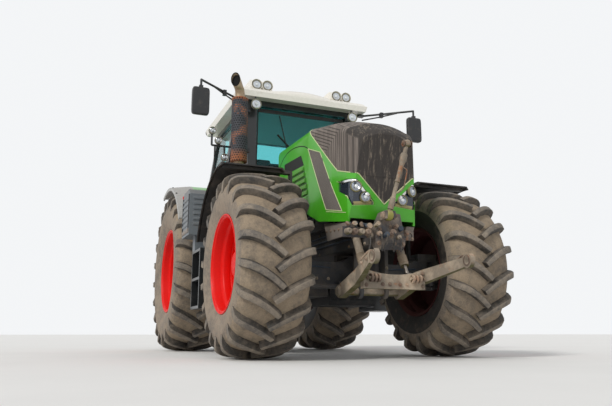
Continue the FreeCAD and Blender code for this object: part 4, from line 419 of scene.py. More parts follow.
NODE_LOOKS = {
    "cast": "front_axle knuckle_left knuckle_right steering_cylinder steering_rod front_frame engine "
            "rear_axle rear_lower_links rear_lift_arms rear_lift_rods",
    "black": "cooler cowl seat_base steering_column tanks mirror_heads work_lamps side_lamps",
    "cab": "cab_frame door_frame platform steps mirror_arms",
    "arm": "front_top_link front_lift_arms ram_tubes",
    "steel": "drawbar",
    "green": "hood_shell rear_fenders",
    "mesh": "hood_mesh",
    "vent": "side_grilles",
    "bowl": "headlamps",
    "grey": "nose_skirt",
    "guard": "front_fender_left front_fender_right",
    "pale": "fender_wings",
    "glass": "cab_glass door_glass",
    "white": "cab_roof",
    "seat": "seat",
    "slate": "battery_box",
    "tan": "exhaust_pipe",
    "shield": "heat_shield",
    "bracket": "front_hitch_bracket",
    "rod": "ram_rods",
}


def smooth(obj, angle=32.0):
    """Round shading across shallow edges, crisp across sharp ones."""
    mesh = obj.data
    mesh.shade_smooth()
    mesh.set_sharp_from_angle(angle=math.radians(angle))


for look, names in NODE_LOOKS.items():
    for name in names.split():
        nodes[name].data.materials.clear()
        nodes[name].data.materials.append(M[look])
        smooth(nodes[name])


# Mesh helpers

def make(name, mesh, body, looks, angle=32.0):
    """An object from a bmesh, riding on a body, with its materials."""
    data = bpy.data.meshes.new(name)
    bmesh.ops.recalc_face_normals(mesh, faces=mesh.faces)
    mesh.to_mesh(data)
    mesh.free()
    obj = bpy.data.objects.new(name, data)
    scene.collection.objects.link(obj)
    for look in looks:
        data.materials.append(M[look])
    smooth(obj, angle)
    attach(obj, body)
    return obj


def bevel(obj, width, segments=1):
    """Breaks the sharp edges of a piece."""
    made = obj.modifiers.new("edge", "BEVEL")
    made.width = width
    made.segments = segments
    made.limit_method = "ANGLE"
    made.angle_limit = math.radians(35.0)


def turn(count, shift=0.0):
    """Evenly spaced angles of a full turn."""
    return [2 * math.pi * (i + shift) / count for i in range(count)]


def ring(mesh, loops, slot=0, capped=False):
    """Faces between neighbouring closed rows of points, with the ends shut if capped."""
    rows = [[mesh.verts.new(p) for p in row] for row in loops]
    count = len(rows[0])
    for a, b in zip(rows, rows[1:]):
        for i in range(count):
            j = (i + 1) % count
            mesh.faces.new((a[i], a[j], b[j], b[i])).material_index = slot
    if capped:
        for row in (rows[0], rows[-1]):
            mesh.faces.new(row).material_index = slot


def turned(mesh, profile, centre, axis="x", count=96, slot=0, slots=None):
    """Turns (along, radius) points about a line through centre."""
    rows = []
    for along, radius in profile:
        row = []
        for a in turn(count):
            u, v = radius * math.cos(a), radius * math.sin(a)
            p = {"x": (along, u, v), "z": (u, v, along)}[axis]
            row.append(mesh.verts.new(Vector(centre) + Vector(p)))
        rows.append(row)
    for k, (a, b) in enumerate(zip(rows, rows[1:])):
        for i in range(count):
            j = (i + 1) % count
            face = mesh.faces.new((a[i], a[j], b[j], b[i]))
            face.material_index = slots[k] if slots else slot
    bmesh.ops.remove_doubles(mesh, verts=mesh.verts, dist=1e-6)


def joined(mesh, part):
    """Moves everything of one bmesh into another."""
    data = bpy.data.meshes.new("part")
    part.to_mesh(data)
    part.free()
    mesh.from_mesh(data)
    bpy.data.meshes.remove(data)


def aimed(direction):
    """A rotation whose +X points along a direction."""
    x = Vector(direction).normalized()
    y = UP.cross(x)
    if y.length < 1e-4:
        y = Vector((0, 1, 0))
    y.normalize()
    return Matrix((x, y, x.cross(y))).transposed().to_4x4()


def turned_at(mesh, profile, centre, direction, count=32, slot=0):
    """Turns (along, radius) points about a line of any direction."""
    part = bmesh.new()
    turned(part, profile, (0, 0, 0), "x", count, slot)
    part.transform(Matrix.Translation(Vector(centre)) @ aimed(direction))
    joined(mesh, part)


def tube(mesh, path, radius, count=12, slot=0, capped=True):
    """A round bar through points, mitred at each."""
    path = [Vector(p) for p in path]
    loops = []
    side = None
    for k, p in enumerate(path):
        ahead = path[min(k + 1, len(path) - 1)] - p
        back = p - path[max(k - 1, 0)]
        way = (ahead.normalized() + back.normalized()).normalized()
        if side is None:
            side = way.cross(UP)
            if side.length < 0.2:
                side = way.cross(Vector((0, 1, 0)))
        side = (side - way * side.dot(way)).normalized()
        other = way.cross(side)
        loops.append([p + (side * math.cos(a) + other * math.sin(a)) * radius for a in turn(count)])
    ring(mesh, loops, slot, capped)


def rounded_path(points, radius, steps=5):
    """Replaces each inner corner by an arc."""
    points = [Vector(p) for p in points]
    out = [points[0]]
    for a, b, c in zip(points, points[1:], points[2:]):
        u, v = (a - b), (c - b)
        cut = min(radius, u.length * 0.45, v.length * 0.45)
        start, end = b + u.normalized() * cut, b + v.normalized() * cut
        for i in range(steps + 1):
            t = i / steps
            out.append(start.lerp(b, t).lerp(b.lerp(end, t), t))
    out.append(points[-1])
    return out


def slab(mesh, low, high, slot=0):
    """A box between two corners."""
    made = bmesh.ops.create_cube(mesh, size=1.0)
    size = Vector(high) - Vector(low)
    middle = (Vector(high) + Vector(low)) / 2
    for v in made["verts"]:
        v.co = Vector((v.co.x * size.x, v.co.y * size.y, v.co.z * size.z)) + middle
    for f in {f for v in made["verts"] for f in v.link_faces}:
        f.material_index = slot


def curve_through(points, count):
    """Points along a smooth Catmull-Rom line through the given ones, evenly spaced."""
    pts = [Vector((*p, 0)) for p in points]
    pts = [pts[0] * 2 - pts[1]] + pts + [pts[-1] * 2 - pts[-2]]
    dense = []
    for a, b, c, e in zip(pts, pts[1:], pts[2:], pts[3:]):
        for i in range(24):
            t = i / 24
            dense.append(0.5 * ((2 * b) + (c - a) * t + (2 * a - 5 * b + 4 * c - e) * t * t
                                + (3 * b - a - 3 * c + e) * t ** 3))
    dense.append(pts[-2])
    lengths = [0.0]
    for a, b in zip(dense, dense[1:]):
        lengths.append(lengths[-1] + (b - a).length)
    out = []
    k = 0
    for i in range(count):
        want = lengths[-1] * i / (count - 1)
        while k < len(lengths) - 2 and lengths[k + 1] < want:
            k += 1
        t = (want - lengths[k]) / max(1e-9, lengths[k + 1] - lengths[k])
        out.append(dense[k].lerp(dense[k + 1], min(1.0, t)))
    return out


# Tyres

# The flank and inner-wall looks are darker rubber: painted shade on the lugs' flanks and on the lower inboard
# sidewall.
TYRE_LOOKS = ["wall", "lug", "flank", "floor", "inner_wall_shade"]
TYRE_WALL, TYRE_LUG, TYRE_FLANK_SHADE, TYRE_FLOOR, TYRE_INNER_SHADE = range(5)


class Profile:
    """Half of a tyre's section from the crown's middle to the bead, by distance along it."""

    def __init__(self, points):
        self.points = curve_through(points, 60)
        self.dist = [0.0]
        for a, b in zip(self.points, self.points[1:]):
            self.dist.append(self.dist[-1] + (b - a).length)

    def at(self, s):
        """Point (x, radius) and outward normal at a distance. A negative one is the other half."""
        sign = -1.0 if s < 0 else 1.0
        s = min(abs(s), self.dist[-1] - 1e-6)
        k = 0
        while self.dist[k + 1] < s:
            k += 1
        t = (s - self.dist[k]) / (self.dist[k + 1] - self.dist[k])
        p = self.points[k].lerp(self.points[k + 1], t)
        way = (self.points[k + 1] - self.points[k]).normalized()
        return Vector((p.x * sign, p.y)), Vector((-way.y * sign, way.x))


def carcass(mesh, profile, hand, spec):
    """The tyre's body, turned about the axle, to just inside the beads."""
    stations, around = 26, 120
    half = [profile.at(profile.dist[-1] * i / stations)[0] for i in range(stations + 1)]
    bead_x, bead_r = half[-1]
    inner = [(bead_x * 0.8, bead_r - 0.004), (bead_x * 0.7, bead_r + 0.012)]
    section = [(-p.x, p.y) for p in reversed(half)] + [(p.x, p.y) for p in half[1:]]
    section = [(-x, r) for x, r in reversed(inner)] + section + inner
    rows = [[mesh.verts.new((x, r * math.cos(a), r * math.sin(a))) for a in turn(around)] for x, r in section]
    for (x1, r1), (x2, r2), a, b in zip(section, section[1:], rows, rows[1:]):
        x, r = (x1 + x2) / 2, (r1 + r2) / 2
        look = TYRE_FLOOR if r > spec["floor_end"] else TYRE_WALL
        # Painted shade: the inboard sidewall below this radius takes near-black rubber.
        if x * hand < 0 and r < spec["inner_wall_shade"]:
            look = TYRE_INNER_SHADE
        for i in range(around):
            j = (i + 1) % around
            mesh.faces.new((a[i], a[j], b[j], b[i])).material_index = look


def lug(mesh, profile, spec, side, place):
    """A curved bar: steep near the middle, nearly straight across at the shoulder, low at its end."""
    steps = 16
    radius, limit = spec["radius"], spec["limit"]
    start, shoulder, end = spec["nose"], spec["shoulder"], spec["lug_end"]
    line = []
    for i in range(steps + 1):
        t = i / steps
        line.append((start + (end - start) * t, -spec["sweep"] * (1 - (1 - t) ** 1.75) / radius))
    rows = []
    for i, (s, angle) in enumerate(line):
        before, after = line[max(0, i - 1)], line[min(steps, i + 1)]
        way = Vector((after[0] - before[0], (after[1] - before[1]) * radius)).normalized()
        drop = max(0.0, (s - shoulder) / (end - shoulder))
        height = spec["height"] * (1 - 0.86 * drop ** 1.2)
        top = spec["top"] * (1.0 + 0.55 * i / steps)
        foot = top + spec["foot"] * (1 - 0.6 * drop)
        flank = [(foot, -0.008), (foot * 0.96, 0.004), (top + 0.005, height * 0.8), (top, height - 0.003),
                 (top - 0.004, height)]
        row = []
        for off, up in [(-u, v) for u, v in flank] + [(0, height * 1.004)] + flank[::-1]:
            p, normal = profile.at(s - way.y * off)
            x = max(-limit, min(limit, p.x + normal.x * up)) * side
            r = min(p.y + normal.y * up, radius - 0.0005)
            theta = place + angle + way.x * off / radius
            row.append(mesh.verts.new((x, -r * math.cos(theta), -r * math.sin(theta))))
        rows.append(row)
    for a, b in zip(rows, rows[1:]):
        for i in range(len(a) - 1):
            # Painted shade: the lug's flanks and end faces take a darker rubber than its top.
            look = TYRE_LUG if 3 <= i <= 6 else TYRE_FLANK_SHADE
            mesh.faces.new((a[i], a[i + 1], b[i + 1], b[i])).material_index = look
    for row in (rows[0], rows[-1]):
        mesh.faces.new(row).material_index = TYRE_FLANK_SHADE


def tyre(name, body, centre, hand, spec, seed):
    """A carcass, and two rows of lugs in a chevron, half a pitch apart."""
    rng = random.Random(seed)
    profile = Profile(spec["profile"])
    mesh = bmesh.new()
    carcass(mesh, profile, hand, spec)
    pitch = 2 * math.pi / spec["count"]
    for side in (-1, 1):
        for n in range(spec["count"]):
            place = 1.5 * math.pi + (n + (0.0 if side * hand > 0 else 0.5)) * pitch
            lug(mesh, profile, spec, side, place + rng.uniform(-0.004, 0.004))
    mesh.transform(Matrix.Translation(centre))
    return make(name, mesh, body, TYRE_LOOKS, 38.0)


FRONT_TYRE = {
    "radius": FRONT_R, "count": 20, "height": 0.062, "top": 0.021, "foot": 0.016,
    "profile": [(0.0, 0.789), (0.12, 0.785), (0.21, 0.772), (0.262, 0.752), (0.296, 0.716), (0.315, 0.676),
                (0.3245, 0.635), (0.322, 0.58), (0.31, 0.525), (0.296, 0.482), (0.288, 0.462), (0.28, 0.452)],
    "nose": -0.03, "shoulder": 0.27, "lug_end": 0.385, "sweep": 0.205, "limit": 0.3248, "floor_end": 0.7,
    "inner_wall_shade": 0.62,
}
REAR_TYRE = {
    "radius": REAR_R, "count": 21, "height": 0.07, "top": 0.024, "foot": 0.018,
    "profile": [(0.0, 0.995), (0.13, 0.99), (0.23, 0.975), (0.29, 0.952), (0.325, 0.915), (0.345, 0.87),
                (0.3555, 0.8), (0.352, 0.73), (0.335, 0.66), (0.315, 0.6), (0.3, 0.572), (0.29, 0.56)],
    "nose": -0.034, "shoulder": 0.3, "lug_end": 0.425, "sweep": 0.235, "limit": 0.3555, "floor_end": 0.9,
    "inner_wall_shade": 0.8,
}


# Rims

NUTS = 10
# The third look is a near-black red, painted shade inside the rim.
RIM_RED, RIM_HUB, RIM_INNER_SHADE = range(3)


def disc(spec, side):
    """The wheel's disc as a thin double skin, with its oval openings cut."""
    part = bmesh.new()
    reach, around = (0.004, 336) if spec["slots"] else (0.03, 96)
    line = []
    for (x1, r1), (x2, r2) in zip(spec["disc"], spec["disc"][1:]):
        count = max(1, round(math.hypot(x2 - x1, r2 - r1) / reach))
        line += [(x1 + (x2 - x1) * i / count, r1 + (r2 - r1) * i / count) for i in range(count)]
    line.append(spec["disc"][-1])
    # The back skin takes the painted shade.
    for back, look in ((0.0, RIM_RED), (0.006, RIM_INNER_SHADE)):
        turned(part, [((x - back) * side, r) for x, r in line], (0, 0, 0), "x", around, look)
    gone = []
    for face in part.faces:
        p = face.calc_center_median()
        r, a = math.hypot(p.y, p.z), math.atan2(p.z, p.y)
        for middle in turn(spec["slots"]):
            off = (a - middle + math.pi) % (2 * math.pi) - math.pi
            if (off * r / spec["slot_long"]) ** 2 + ((r - spec["slot_r"]) / spec["slot_wide"]) ** 2 < 1.03:
                gone.append(face)
    bmesh.ops.delete(part, geom=gone, context="FACES")
    return part


def slot_lip(mesh, centre, side, a, spec):
    """The rolled edge round one oval opening."""
    out = Vector((0, math.cos(a), math.sin(a)))
    along = Vector((0, -math.sin(a), math.cos(a)))
    middle = centre + out * spec["slot_r"] + Vector((spec["slot_x"] * side, 0, 0))
    up = out - Vector((spec["slot_lean"] * side, 0, 0))
    loops = []
    for grow, push in ((1.16, -0.001), (1.12, 0.005), (1.02, 0.004), (0.97, -0.014)):
        row = []
        for b in turn(28):
            u, v = math.cos(b) * spec["slot_long"] * grow, math.sin(b) * spec["slot_wide"] * grow
            row.append(middle + along * u + up * v + Vector((push * side, 0, 0)))
        loops.append(row)
    ring(mesh, loops, RIM_RED)


NUT = [(0, 0.019), (0.004, 0.019), (0.022, 0.015), (0.024, 0.0)]
WASHER = [(-0.002, 0.027), (0.004, 0.027), (0.004, 0.0)]
CLAMP = [(0, 0.03), (0.01, 0.028), (0.012, 0.012), (0.024, 0.011), (0.026, 0.0)]


def rim(name, body, centre, side, spec):
    """A drop-centre rim turned about the axle, with its disc, hub, nuts and openings."""
    mesh = bmesh.new()
    out = (side, 0, 0)
    # The inboard half of the barrel takes the painted shade.
    turned(mesh, [(x * side, r) for x, r in spec["barrel"]], centre, "x", 128,
           slots=[RIM_INNER_SHADE if x < 0.01 else RIM_RED for x, r in spec["barrel"]])
    plate = disc(spec, side)
    bmesh.ops.translate(plate, verts=plate.verts, vec=centre)
    joined(mesh, plate)
    turned(mesh, [(x * side, r) for x, r in spec["hub"]], centre, "x", 64, RIM_HUB)
    for a in turn(NUTS, 0.5):
        y, z = spec["nut_r"] * math.cos(a), spec["nut_r"] * math.sin(a)
        spot = centre + Vector((spec["nut_x"] * side, y, z))
        turned_at(mesh, NUT, spot, out, 6, RIM_HUB)
        turned_at(mesh, WASHER, spot, out, 16, RIM_RED)
    for a in turn(spec["slots"]):
        slot_lip(mesh, centre, side, a, spec)
    for a in turn(spec["clamps"]):
        away = Vector((0, math.cos(a), math.sin(a)))
        spot = centre + away * spec["clamp_r"] + Vector((spec["clamp_x"] * side, 0, 0))
        turned_at(mesh, CLAMP, spot, Vector((0.4 * side, 0, 0)) - away, 8, RIM_RED)
    return make(name, mesh, body, ["red", spec["hub_look"], "rim_inner_shade"], 30.0)


FRONT_RIM = {
    "barrel": [(0.279, 0.4555), (0.284, 0.4575), (0.291, 0.4565), (0.295, 0.4515), (0.294, 0.4455),
               (0.288, 0.441), (0.281, 0.437), (0.277, 0.429), (0.262, 0.4215), (0.205, 0.4195),
               (0.2, 0.4175), (0.192, 0.405), (0.182, 0.3915), (0.174, 0.388), (0.12, 0.3875),
               (0.116, 0.391), (0.108, 0.391), (0.104, 0.3875), (0.0, 0.3875), (-0.17, 0.3875),
               (-0.2, 0.4175), (-0.27, 0.4195), (-0.288, 0.441), (-0.295, 0.455), (-0.282, 0.456)],
    "disc": [(-0.012, 0.3885), (-0.004, 0.38), (0.012, 0.33), (0.034, 0.25), (0.046, 0.2), (0.052, 0.185),
             (0.052, 0.15), (0.036, 0.146)],
    "hub": [(0.045, 0.16), (0.056, 0.158), (0.06, 0.15), (0.06, 0.128), (0.11, 0.124), (0.16, 0.118),
            (0.176, 0.11), (0.183, 0.094), (0.184, 0.06), (0.187, 0.056), (0.188, 0.0)],
    "nut_x": 0.05, "nut_r": 0.167, "slots": 0, "clamps": 8, "clamp_r": 0.386, "clamp_x": 0.04,
    "hub_look": "red",
}
REAR_RIM = {
    "barrel": [(0.287, 0.5585), (0.292, 0.5605), (0.298, 0.5595), (0.302, 0.5545), (0.301, 0.548),
               (0.295, 0.543), (0.286, 0.537), (0.282, 0.528), (0.268, 0.5225), (0.212, 0.5205),
               (0.206, 0.518), (0.198, 0.505), (0.188, 0.491), (0.18, 0.4885), (0.0, 0.4885),
               (-0.18, 0.4885), (-0.206, 0.5185), (-0.28, 0.5205), (-0.296, 0.543), (-0.302, 0.556),
               (-0.288, 0.558)],
    "disc": [(0.022, 0.4895), (0.036, 0.486), (0.045, 0.47), (0.056, 0.4), (0.07, 0.32), (0.078, 0.27),
             (0.078, 0.206), (0.062, 0.202)],
    "hub": [(0.07, 0.222), (0.086, 0.22), (0.09, 0.212), (0.09, 0.19), (0.124, 0.178), (0.14, 0.16),
            (0.143, 0.1), (0.147, 0.094), (0.149, 0.0)],
    "nut_x": 0.077, "nut_r": 0.24, "slots": 8, "slot_r": 0.385, "slot_x": 0.0585, "slot_lean": 0.19,
    "slot_long": 0.066, "slot_wide": 0.034, "clamps": 0, "hub_look": "cast",
}

for word, side in (("left", 1), ("right", -1)):
    for kind, x, y, r, tyre_spec, rim_spec in (
            ("front", FRONT_X, FRONT_Y, FRONT_R, FRONT_TYRE, FRONT_RIM),
            ("rear", REAR_X, REAR_Y, REAR_R, REAR_TYRE, REAR_RIM)):
        wheel = "%s_wheel_%s" % (kind, word)
        axle = Vector((x * side, y, r))
        made = tyre("tyre_skin_%s_%s" % (kind, word), wheel, axle, side, tyre_spec, len(kind) + side)
        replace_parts(made, "tyre_%s_%s" % (kind, word))
        made = rim("rim_skin_%s_%s" % (kind, word), wheel, axle, side, rim_spec)
        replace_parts(made, "rim_%s_%s" % (kind, word))


# Pieces that lie on the solids

STRIP = ((-0.5, -0.6), (-0.5, 0.55), (-0.32, 1.0), (0.32, 1.0), (0.5, 0.55), (0.5, -0.6))


def skin_of(*names):
    """The joined surface of some solids."""
    points, faces = [], []
    for name in names:
        start = len(points)
        points += [v.co.copy() for v in nodes[name].data.vertices]
        faces += [[start + i for i in face.vertices] for face in nodes[name].data.polygons]
    return BVHTree.FromPolygons(points, faces)


def lay(skin, start, way, lift=0.0):
    """Where a line first meets a surface, raised a little, and the direction the surface faces."""
    way = Vector(way)
    spot, normal, _, _ = skin.ray_cast(Vector(start), way)
    if spot is None:
        return None
    if normal.dot(way) > 0:
        normal = -normal
    return spot + normal * lift, normal


def band(mesh, skin, points, way, width, height, slot=0, step=0.02, lift=0.0, reach=9.0):
    """A low strip with rounded edges that follows a surface along a drawn line."""
    points = [Vector(p) for p in points]
    spots = []
    for a, b in zip(points, points[1:]):
        count = max(1, round((b - a).length / step))
        spots += [a.lerp(b, i / count) for i in range(count)]
    spots.append(points[-1])
    found = [(p, lay(skin, p, way, lift)) for p in spots]
    found = [f for p, f in found if f and (f[0] - p).length < reach]
    if len(found) < 2:
        return
    loops = []
    for k, (p, normal) in enumerate(found):
        ahead = found[min(k + 1, len(found) - 1)][0] - found[max(k - 1, 0)][0]
        side = normal.cross(ahead).normalized()
        loops.append([p + side * u * width + normal * v * height for u, v in STRIP])
    ring(mesh, loops, slot, capped=True)


def patch(mesh, skin, corners, way, lift, slot, across=12, down=12):
    """A thin sheet that lies on a surface between four corners."""
    a, b, c, e = (Vector(p) for p in corners)
    rows = []
    for j in range(down + 1):
        left, right = a.lerp(e, j / down), b.lerp(c, j / down)
        found = [lay(skin, left.lerp(right, i / across), way, lift) for i in range(across + 1)]
        rows.append([mesh.verts.new(f[0]) if f else None for f in found])
    for one, two in zip(rows, rows[1:]):
        for i in range(across):
            four = (one[i], one[i + 1], two[i + 1], two[i])
            if all(four):
                mesh.faces.new(four).material_index = slot


def bolt(mesh, place, way, size, slot=0):
    """A hexagon head on a washer."""
    washer = [(-0.002, size * 1.5), (size * 0.22, size * 1.5), (size * 0.22, size)]
    hexagon = [(size * 0.2, size), (size * 0.85, size), (size, size * 0.82), (size, 0.0)]
    turned_at(mesh, washer, place, way, 16, slot)
    turned_at(mesh, hexagon, place, way, 6, slot)


def bolt_on(mesh, skin, start, way, size, slot=0):
    """A bolt where a line meets a surface."""
    found = lay(skin, start, way)
    if found:
        bolt(mesh, found[0], found[1], size, slot)


def rounded_box(mesh, low, high, power=0.3, count=(28, 18), slot=0, channels=()):
    """A pillow-like block; channels are (axis, place, depth, width) grooves in it."""
    low, high = Vector(low), Vector(high)
    middle, half = (low + high) / 2, (high - low) / 2

    def soft(value):
        return math.copysign(abs(value) ** power, value)

    loops = []
    for j in range(1, count[1]):
        lat = math.pi * (j / count[1] - 0.5)
        row = []
        for lon in turn(count[0]):
            p = Vector((soft(math.cos(lat)) * soft(math.cos(lon)), soft(math.cos(lat)) * soft(math.sin(lon)),
                        soft(math.sin(lat))))
            for axis, spot, depth, width in channels:
                pull = 1 - depth * math.exp(-((p[axis] - spot) / width) ** 2)
                p = Vector((p.x * (pull if axis != 0 else 1), p.y * (pull if axis != 1 else 1), p.z * pull))
            row.append(middle + Vector((p.x * half.x, p.y * half.y, p.z * half.z)))
        loops.append(row)
    ring(mesh, loops, slot, capped=True)


def lamp_face(mesh, centre, way, radius):
    """A lamp's front: bezel, stepped reflector and bulb."""
    turned_at(mesh, [(-0.014, radius * 1.04), (0.002, radius * 1.04), (0.006, radius * 1.0),
                     (0.006, radius * 0.88), (0.001, radius * 0.86)], centre, way, 36)
    turned_at(mesh, [(0.0015, radius * 0.88), (0.0055, radius * 0.74), (0.002, radius * 0.6),
                     (0.005, radius * 0.46), (0.0015, radius * 0.32)], centre, way, 36, slot=1)
    turned_at(mesh, [(0.001, radius * 0.34), (0.007, radius * 0.28), (0.01, radius * 0.14), (0.011, 0.0)],
              centre, way, 24, slot=2)


# Hood: trim lines, louvres, headlamps and grille seam

HOOD = skin_of("hood_shell", "hood_mesh", "side_grilles")
FACE = skin_of("hood_shell", "headlamps")
MESH_EDGE = [(-1.332, 2.28), (-1.332, 2.262), (-1.932, 1.697), (-2.115, 1.642)]
VENT_EDGE = [(-1.323, 2.075), (-1.595, 1.965), (-1.99, 1.31), (-1.706, 1.37), (-1.323, 2.075)]
ARCH = [(-0.45, 2.08), (-0.5, 2.125), (-0.58, 2.165), (-0.7, 2.195), (-0.83, 2.2), (-0.96, 2.19),
        (-1.095, 2.165), (-1.23, 2.125), (-1.323, 2.078)]
UPPER_PANEL = [(-0.62, 2.085), (-1.13, 2.055), (-1.21, 1.93), (-0.62, 1.96)]
LOUVRE_PANEL = [(-0.62, 1.93), (-1.215, 1.9), (-1.33, 1.6), (-0.62, 1.6)]
LAMP_EDGE = [(0.372, 1.593), (0.281, 1.573), (0.102, 1.388), (0.102, 1.362), (0.319, 1.342), (0.352, 1.44)]


def beside(side, points):
    """Points (y, z) beside the hood."""
    return [(0.75 * side, y, z) for y, z in points]


def before(side, points):
    """Points (x, z) of one half, in front of the hood."""
    return [(side * x, -2.6, z) for x, z in points]


def hood_trim():
    """Thin pale and dark lines along the hood's openings, the pale ones painted highlights; dark sheets
    painted as the shade in the recess under the arch; and the louvres behind the vent.
    """
    mesh = bmesh.new()
    for side in (1, -1):
        way = (-side, 0, 0)
        # Bands in slot 0 are pale painted highlights along the edges of the openings; slot 1 bands are dark
        # joints.
        band(mesh, HOOD, beside(side, MESH_EDGE), way, 0.009, 0.004)
        band(mesh, HOOD, beside(side, VENT_EDGE), way, 0.008, 0.003)
        band(mesh, HOOD, beside(side, ARCH), way, 0.011, 0.002, 1)
        band(mesh, HOOD, beside(side, [(-0.45, 2.08), (-0.45, 1.56)]), way, 0.008, 0.002, 1)
        band(mesh, HOOD, beside(side, [(-1.706, 1.352), (-2.05, 1.285)]), way, 0.007, 0.003)
        # Painted shade in the recess under the arch: a black sheet at its top and a dark green sheet behind
        # the louvres.
        patch(mesh, HOOD, beside(side, UPPER_PANEL), way, 0.0015, 1)
        patch(mesh, HOOD, beside(side, LOUVRE_PANEL), way, 0.0012, 3)
        for k in range(5):
            z = 1.898 - 0.068 * k
            line = [(-0.64, z + 0.012), (-1.205 - 0.026 * k, z - 0.004)]
            band(mesh, HOOD, beside(side, line), way, 0.044, 0.014, 2)
        # Painted highlights along the front's V line and round the lamps.
        band(mesh, HOOD, before(side, [(0.3, 1.632), (0.27, 1.622), (0.0, 1.372)]), REARWARD, 0.009, 0.004)
        band(mesh, FACE, before(side, LAMP_EDGE), REARWARD, 0.009, 0.004, step=0.012, reach=0.7)
    # A painted highlight along the hood's front edge on top, then a dark joint down the middle.
    band(mesh, HOOD, [(x, -1.332, 2.7) for x in (-0.35, 0.35)], DOWN, 0.009, 0.004)
    band(mesh, HOOD, [(0.0, -1.315, 2.7), (0.0, -0.46, 2.7)], DOWN, 0.006, 0.002, 1)
    make("hood_trim", mesh, "hood", ["edge_highlight", "gap", "louvre", "shade"])
    seam = bmesh.new()
    band(seam, HOOD, [(-0.262, -2.6, 1.62), (0.262, -2.6, 1.62)], REARWARD, 0.016, 0.0025)
    make("grille_seam", seam, "hood", ["mesh"])


HEADLAMP = (
    (40, [(-0.02, 0.053), (0.0, 0.053), (0.004, 0.05), (0.004, 0.045), (0.0, 0.042)]),
    (40, [(0.0, 0.043), (0.004, 0.036), (0.001, 0.029), (0.003, 0.022), (0.001, 0.017)]),
    (24, [(0.0, 0.018), (0.006, 0.015), (0.009, 0.0075), (0.0095, 0.0)]),
)


def headlamp_faces():
    """Round lamps, marker strips and small fins in the chromed lamp bowls."""
    lens = skin_of("headlamps")
    mesh = bmesh.new()
    for side in (1, -1):
        for x, z, out in ((0.29, 1.512, 0.42), (0.19, 1.424, 0.05)):
            spot, _ = lay(lens, (x * side, -2.6, z), REARWARD)
            for slot, (count, profile) in enumerate(HEADLAMP):
                turned_at(mesh, profile, spot + Vector((0, -0.001, 0)), (out * side, -1, 0), count, slot)
        for width, height, slot, line in (
                (0.016, 0.006, 3, ((0.375, 1.58), (0.325, 1.375), (0.3, 1.352))),
                (0.03, 0.008, 4, ((0.388, 1.584), (0.288, 1.566), (0.232, 1.512), (0.15, 1.425))),
                (0.03, 0.006, 5, ((0.122, 1.38), (0.3, 1.364)))):
            band(mesh, lens, before(side, line), REARWARD, width, height, slot)
    make("headlamp_faces", mesh, "hood", ["ochre", "dish", "bulb", "gap", "chrome", "amber"])


hood_trim()
headlamp_faces()


# Lamps on the cab

def cab_lamps():
    """The fronts of the lamps on roof, posts and rail, and the shells round the forward ones."""
    mesh = bmesh.new()
    for side in (1, -1):
        for x in (0.466, 0.604):
            lamp_face(mesh, (x * side, -0.1, 3.225), AHEAD, 0.056)
        lamp_face(mesh, (0.64 * side, -0.212, 2.925), AHEAD, 0.061)
        lamp_face(mesh, (0.8 * side, 1.59, 3.092), REARWARD, 0.056)
    for x, z in ((-1.144, 2.556), (-1.07, 2.443), (-0.99, 2.243)):
        lamp_face(mesh, (x, -0.14, z), AHEAD, 0.042)
    make("cab_lamp_faces", mesh, "chassis", ["ring", "reflector", "bulb"])
    mesh = bmesh.new()
    for side in (1, -1):
        for x in (0.466, 0.604):
            turned_at(mesh, [(-0.085, 0.06), (0.0, 0.072), (0.018, 0.072), (0.024, 0.069), (0.022, 0.065),
                             (0.002, 0.061)], (x * side, -0.082, 3.225), AHEAD, 40)
        turned_at(mesh, [(-0.075, 0.0), (-0.075, 0.03), (-0.045, 0.052), (-0.004, 0.064), (0.008, 0.065),
                         (0.008, 0.061), (-0.004, 0.058)], (0.64 * side, -0.206, 2.925), AHEAD, 36, slot=1)
    make("lamp_shrouds", mesh, "chassis", ["white", "ring"])


def roof_brow():
    """The roof's crown: a low arch over the windscreen between the lamp pods, fading to the rear."""
    mesh = bmesh.new()
    roof = skin_of("cab_roof")
    wide, front, long, rise = 0.385, -0.186, 1.25, 0.046
    rows = []
    for j in range(25):
        t = j / 24
        row = []
        for i in range(33):
            x = wide * (i / 16 - 1)
            spot, _ = lay(roof, (x, front + long * t, 4.0), DOWN)
            lift = rise * (1 - (x / wide) ** 2) * math.cos(math.pi / 2 * t) ** 2 * min(1.0, 0.55 + 9 * t)
            row.append(mesh.verts.new((spot.x, spot.y, min(spot.z + lift + 0.0008, ROOF_TOP))))
        rows.append(row)
    lip = []
    for v in rows[0]:
        drop = 0.01 + 0.55 * rise * (1 - (v.co.x / wide) ** 2)
        lip.append(mesh.verts.new((v.co.x, v.co.y - 0.003, v.co.z - drop)))
    rows.insert(0, lip)
    for one, two in zip(rows, rows[1:]):
        for i in range(32):
            mesh.faces.new((one[i], one[i + 1], two[i + 1], two[i]))
    make("roof_crown", mesh, "chassis", ["white"], 50.0)


cab_lamps()
roof_brow()


# Front linkage: couplers, caps, bolts, boots, catches and pipes

LINK_FOOT = Vector((-0.06, -2.31, 1.235))
LINK_HEAD = Vector((0.1, -2.39, 1.88))
HOOK = (0.437, -2.736, 0.816)
RAM_TOP = (0.21, -1.93, 1.15)
RAM_WAY = Vector((0, -0.45548, -0.89026))
CAP_LOOKS = (1, 0, 1, 3)
VALVE_PLACES = [(-0.205, 1.135), (-0.15, 1.15), (0.035, 1.14), (0.095, 1.125), (0.145, 1.085),
                (-0.185, 1.07), (-0.125, 1.08), (-0.065, 1.06), (0.005, 1.07), (0.07, 1.055)]


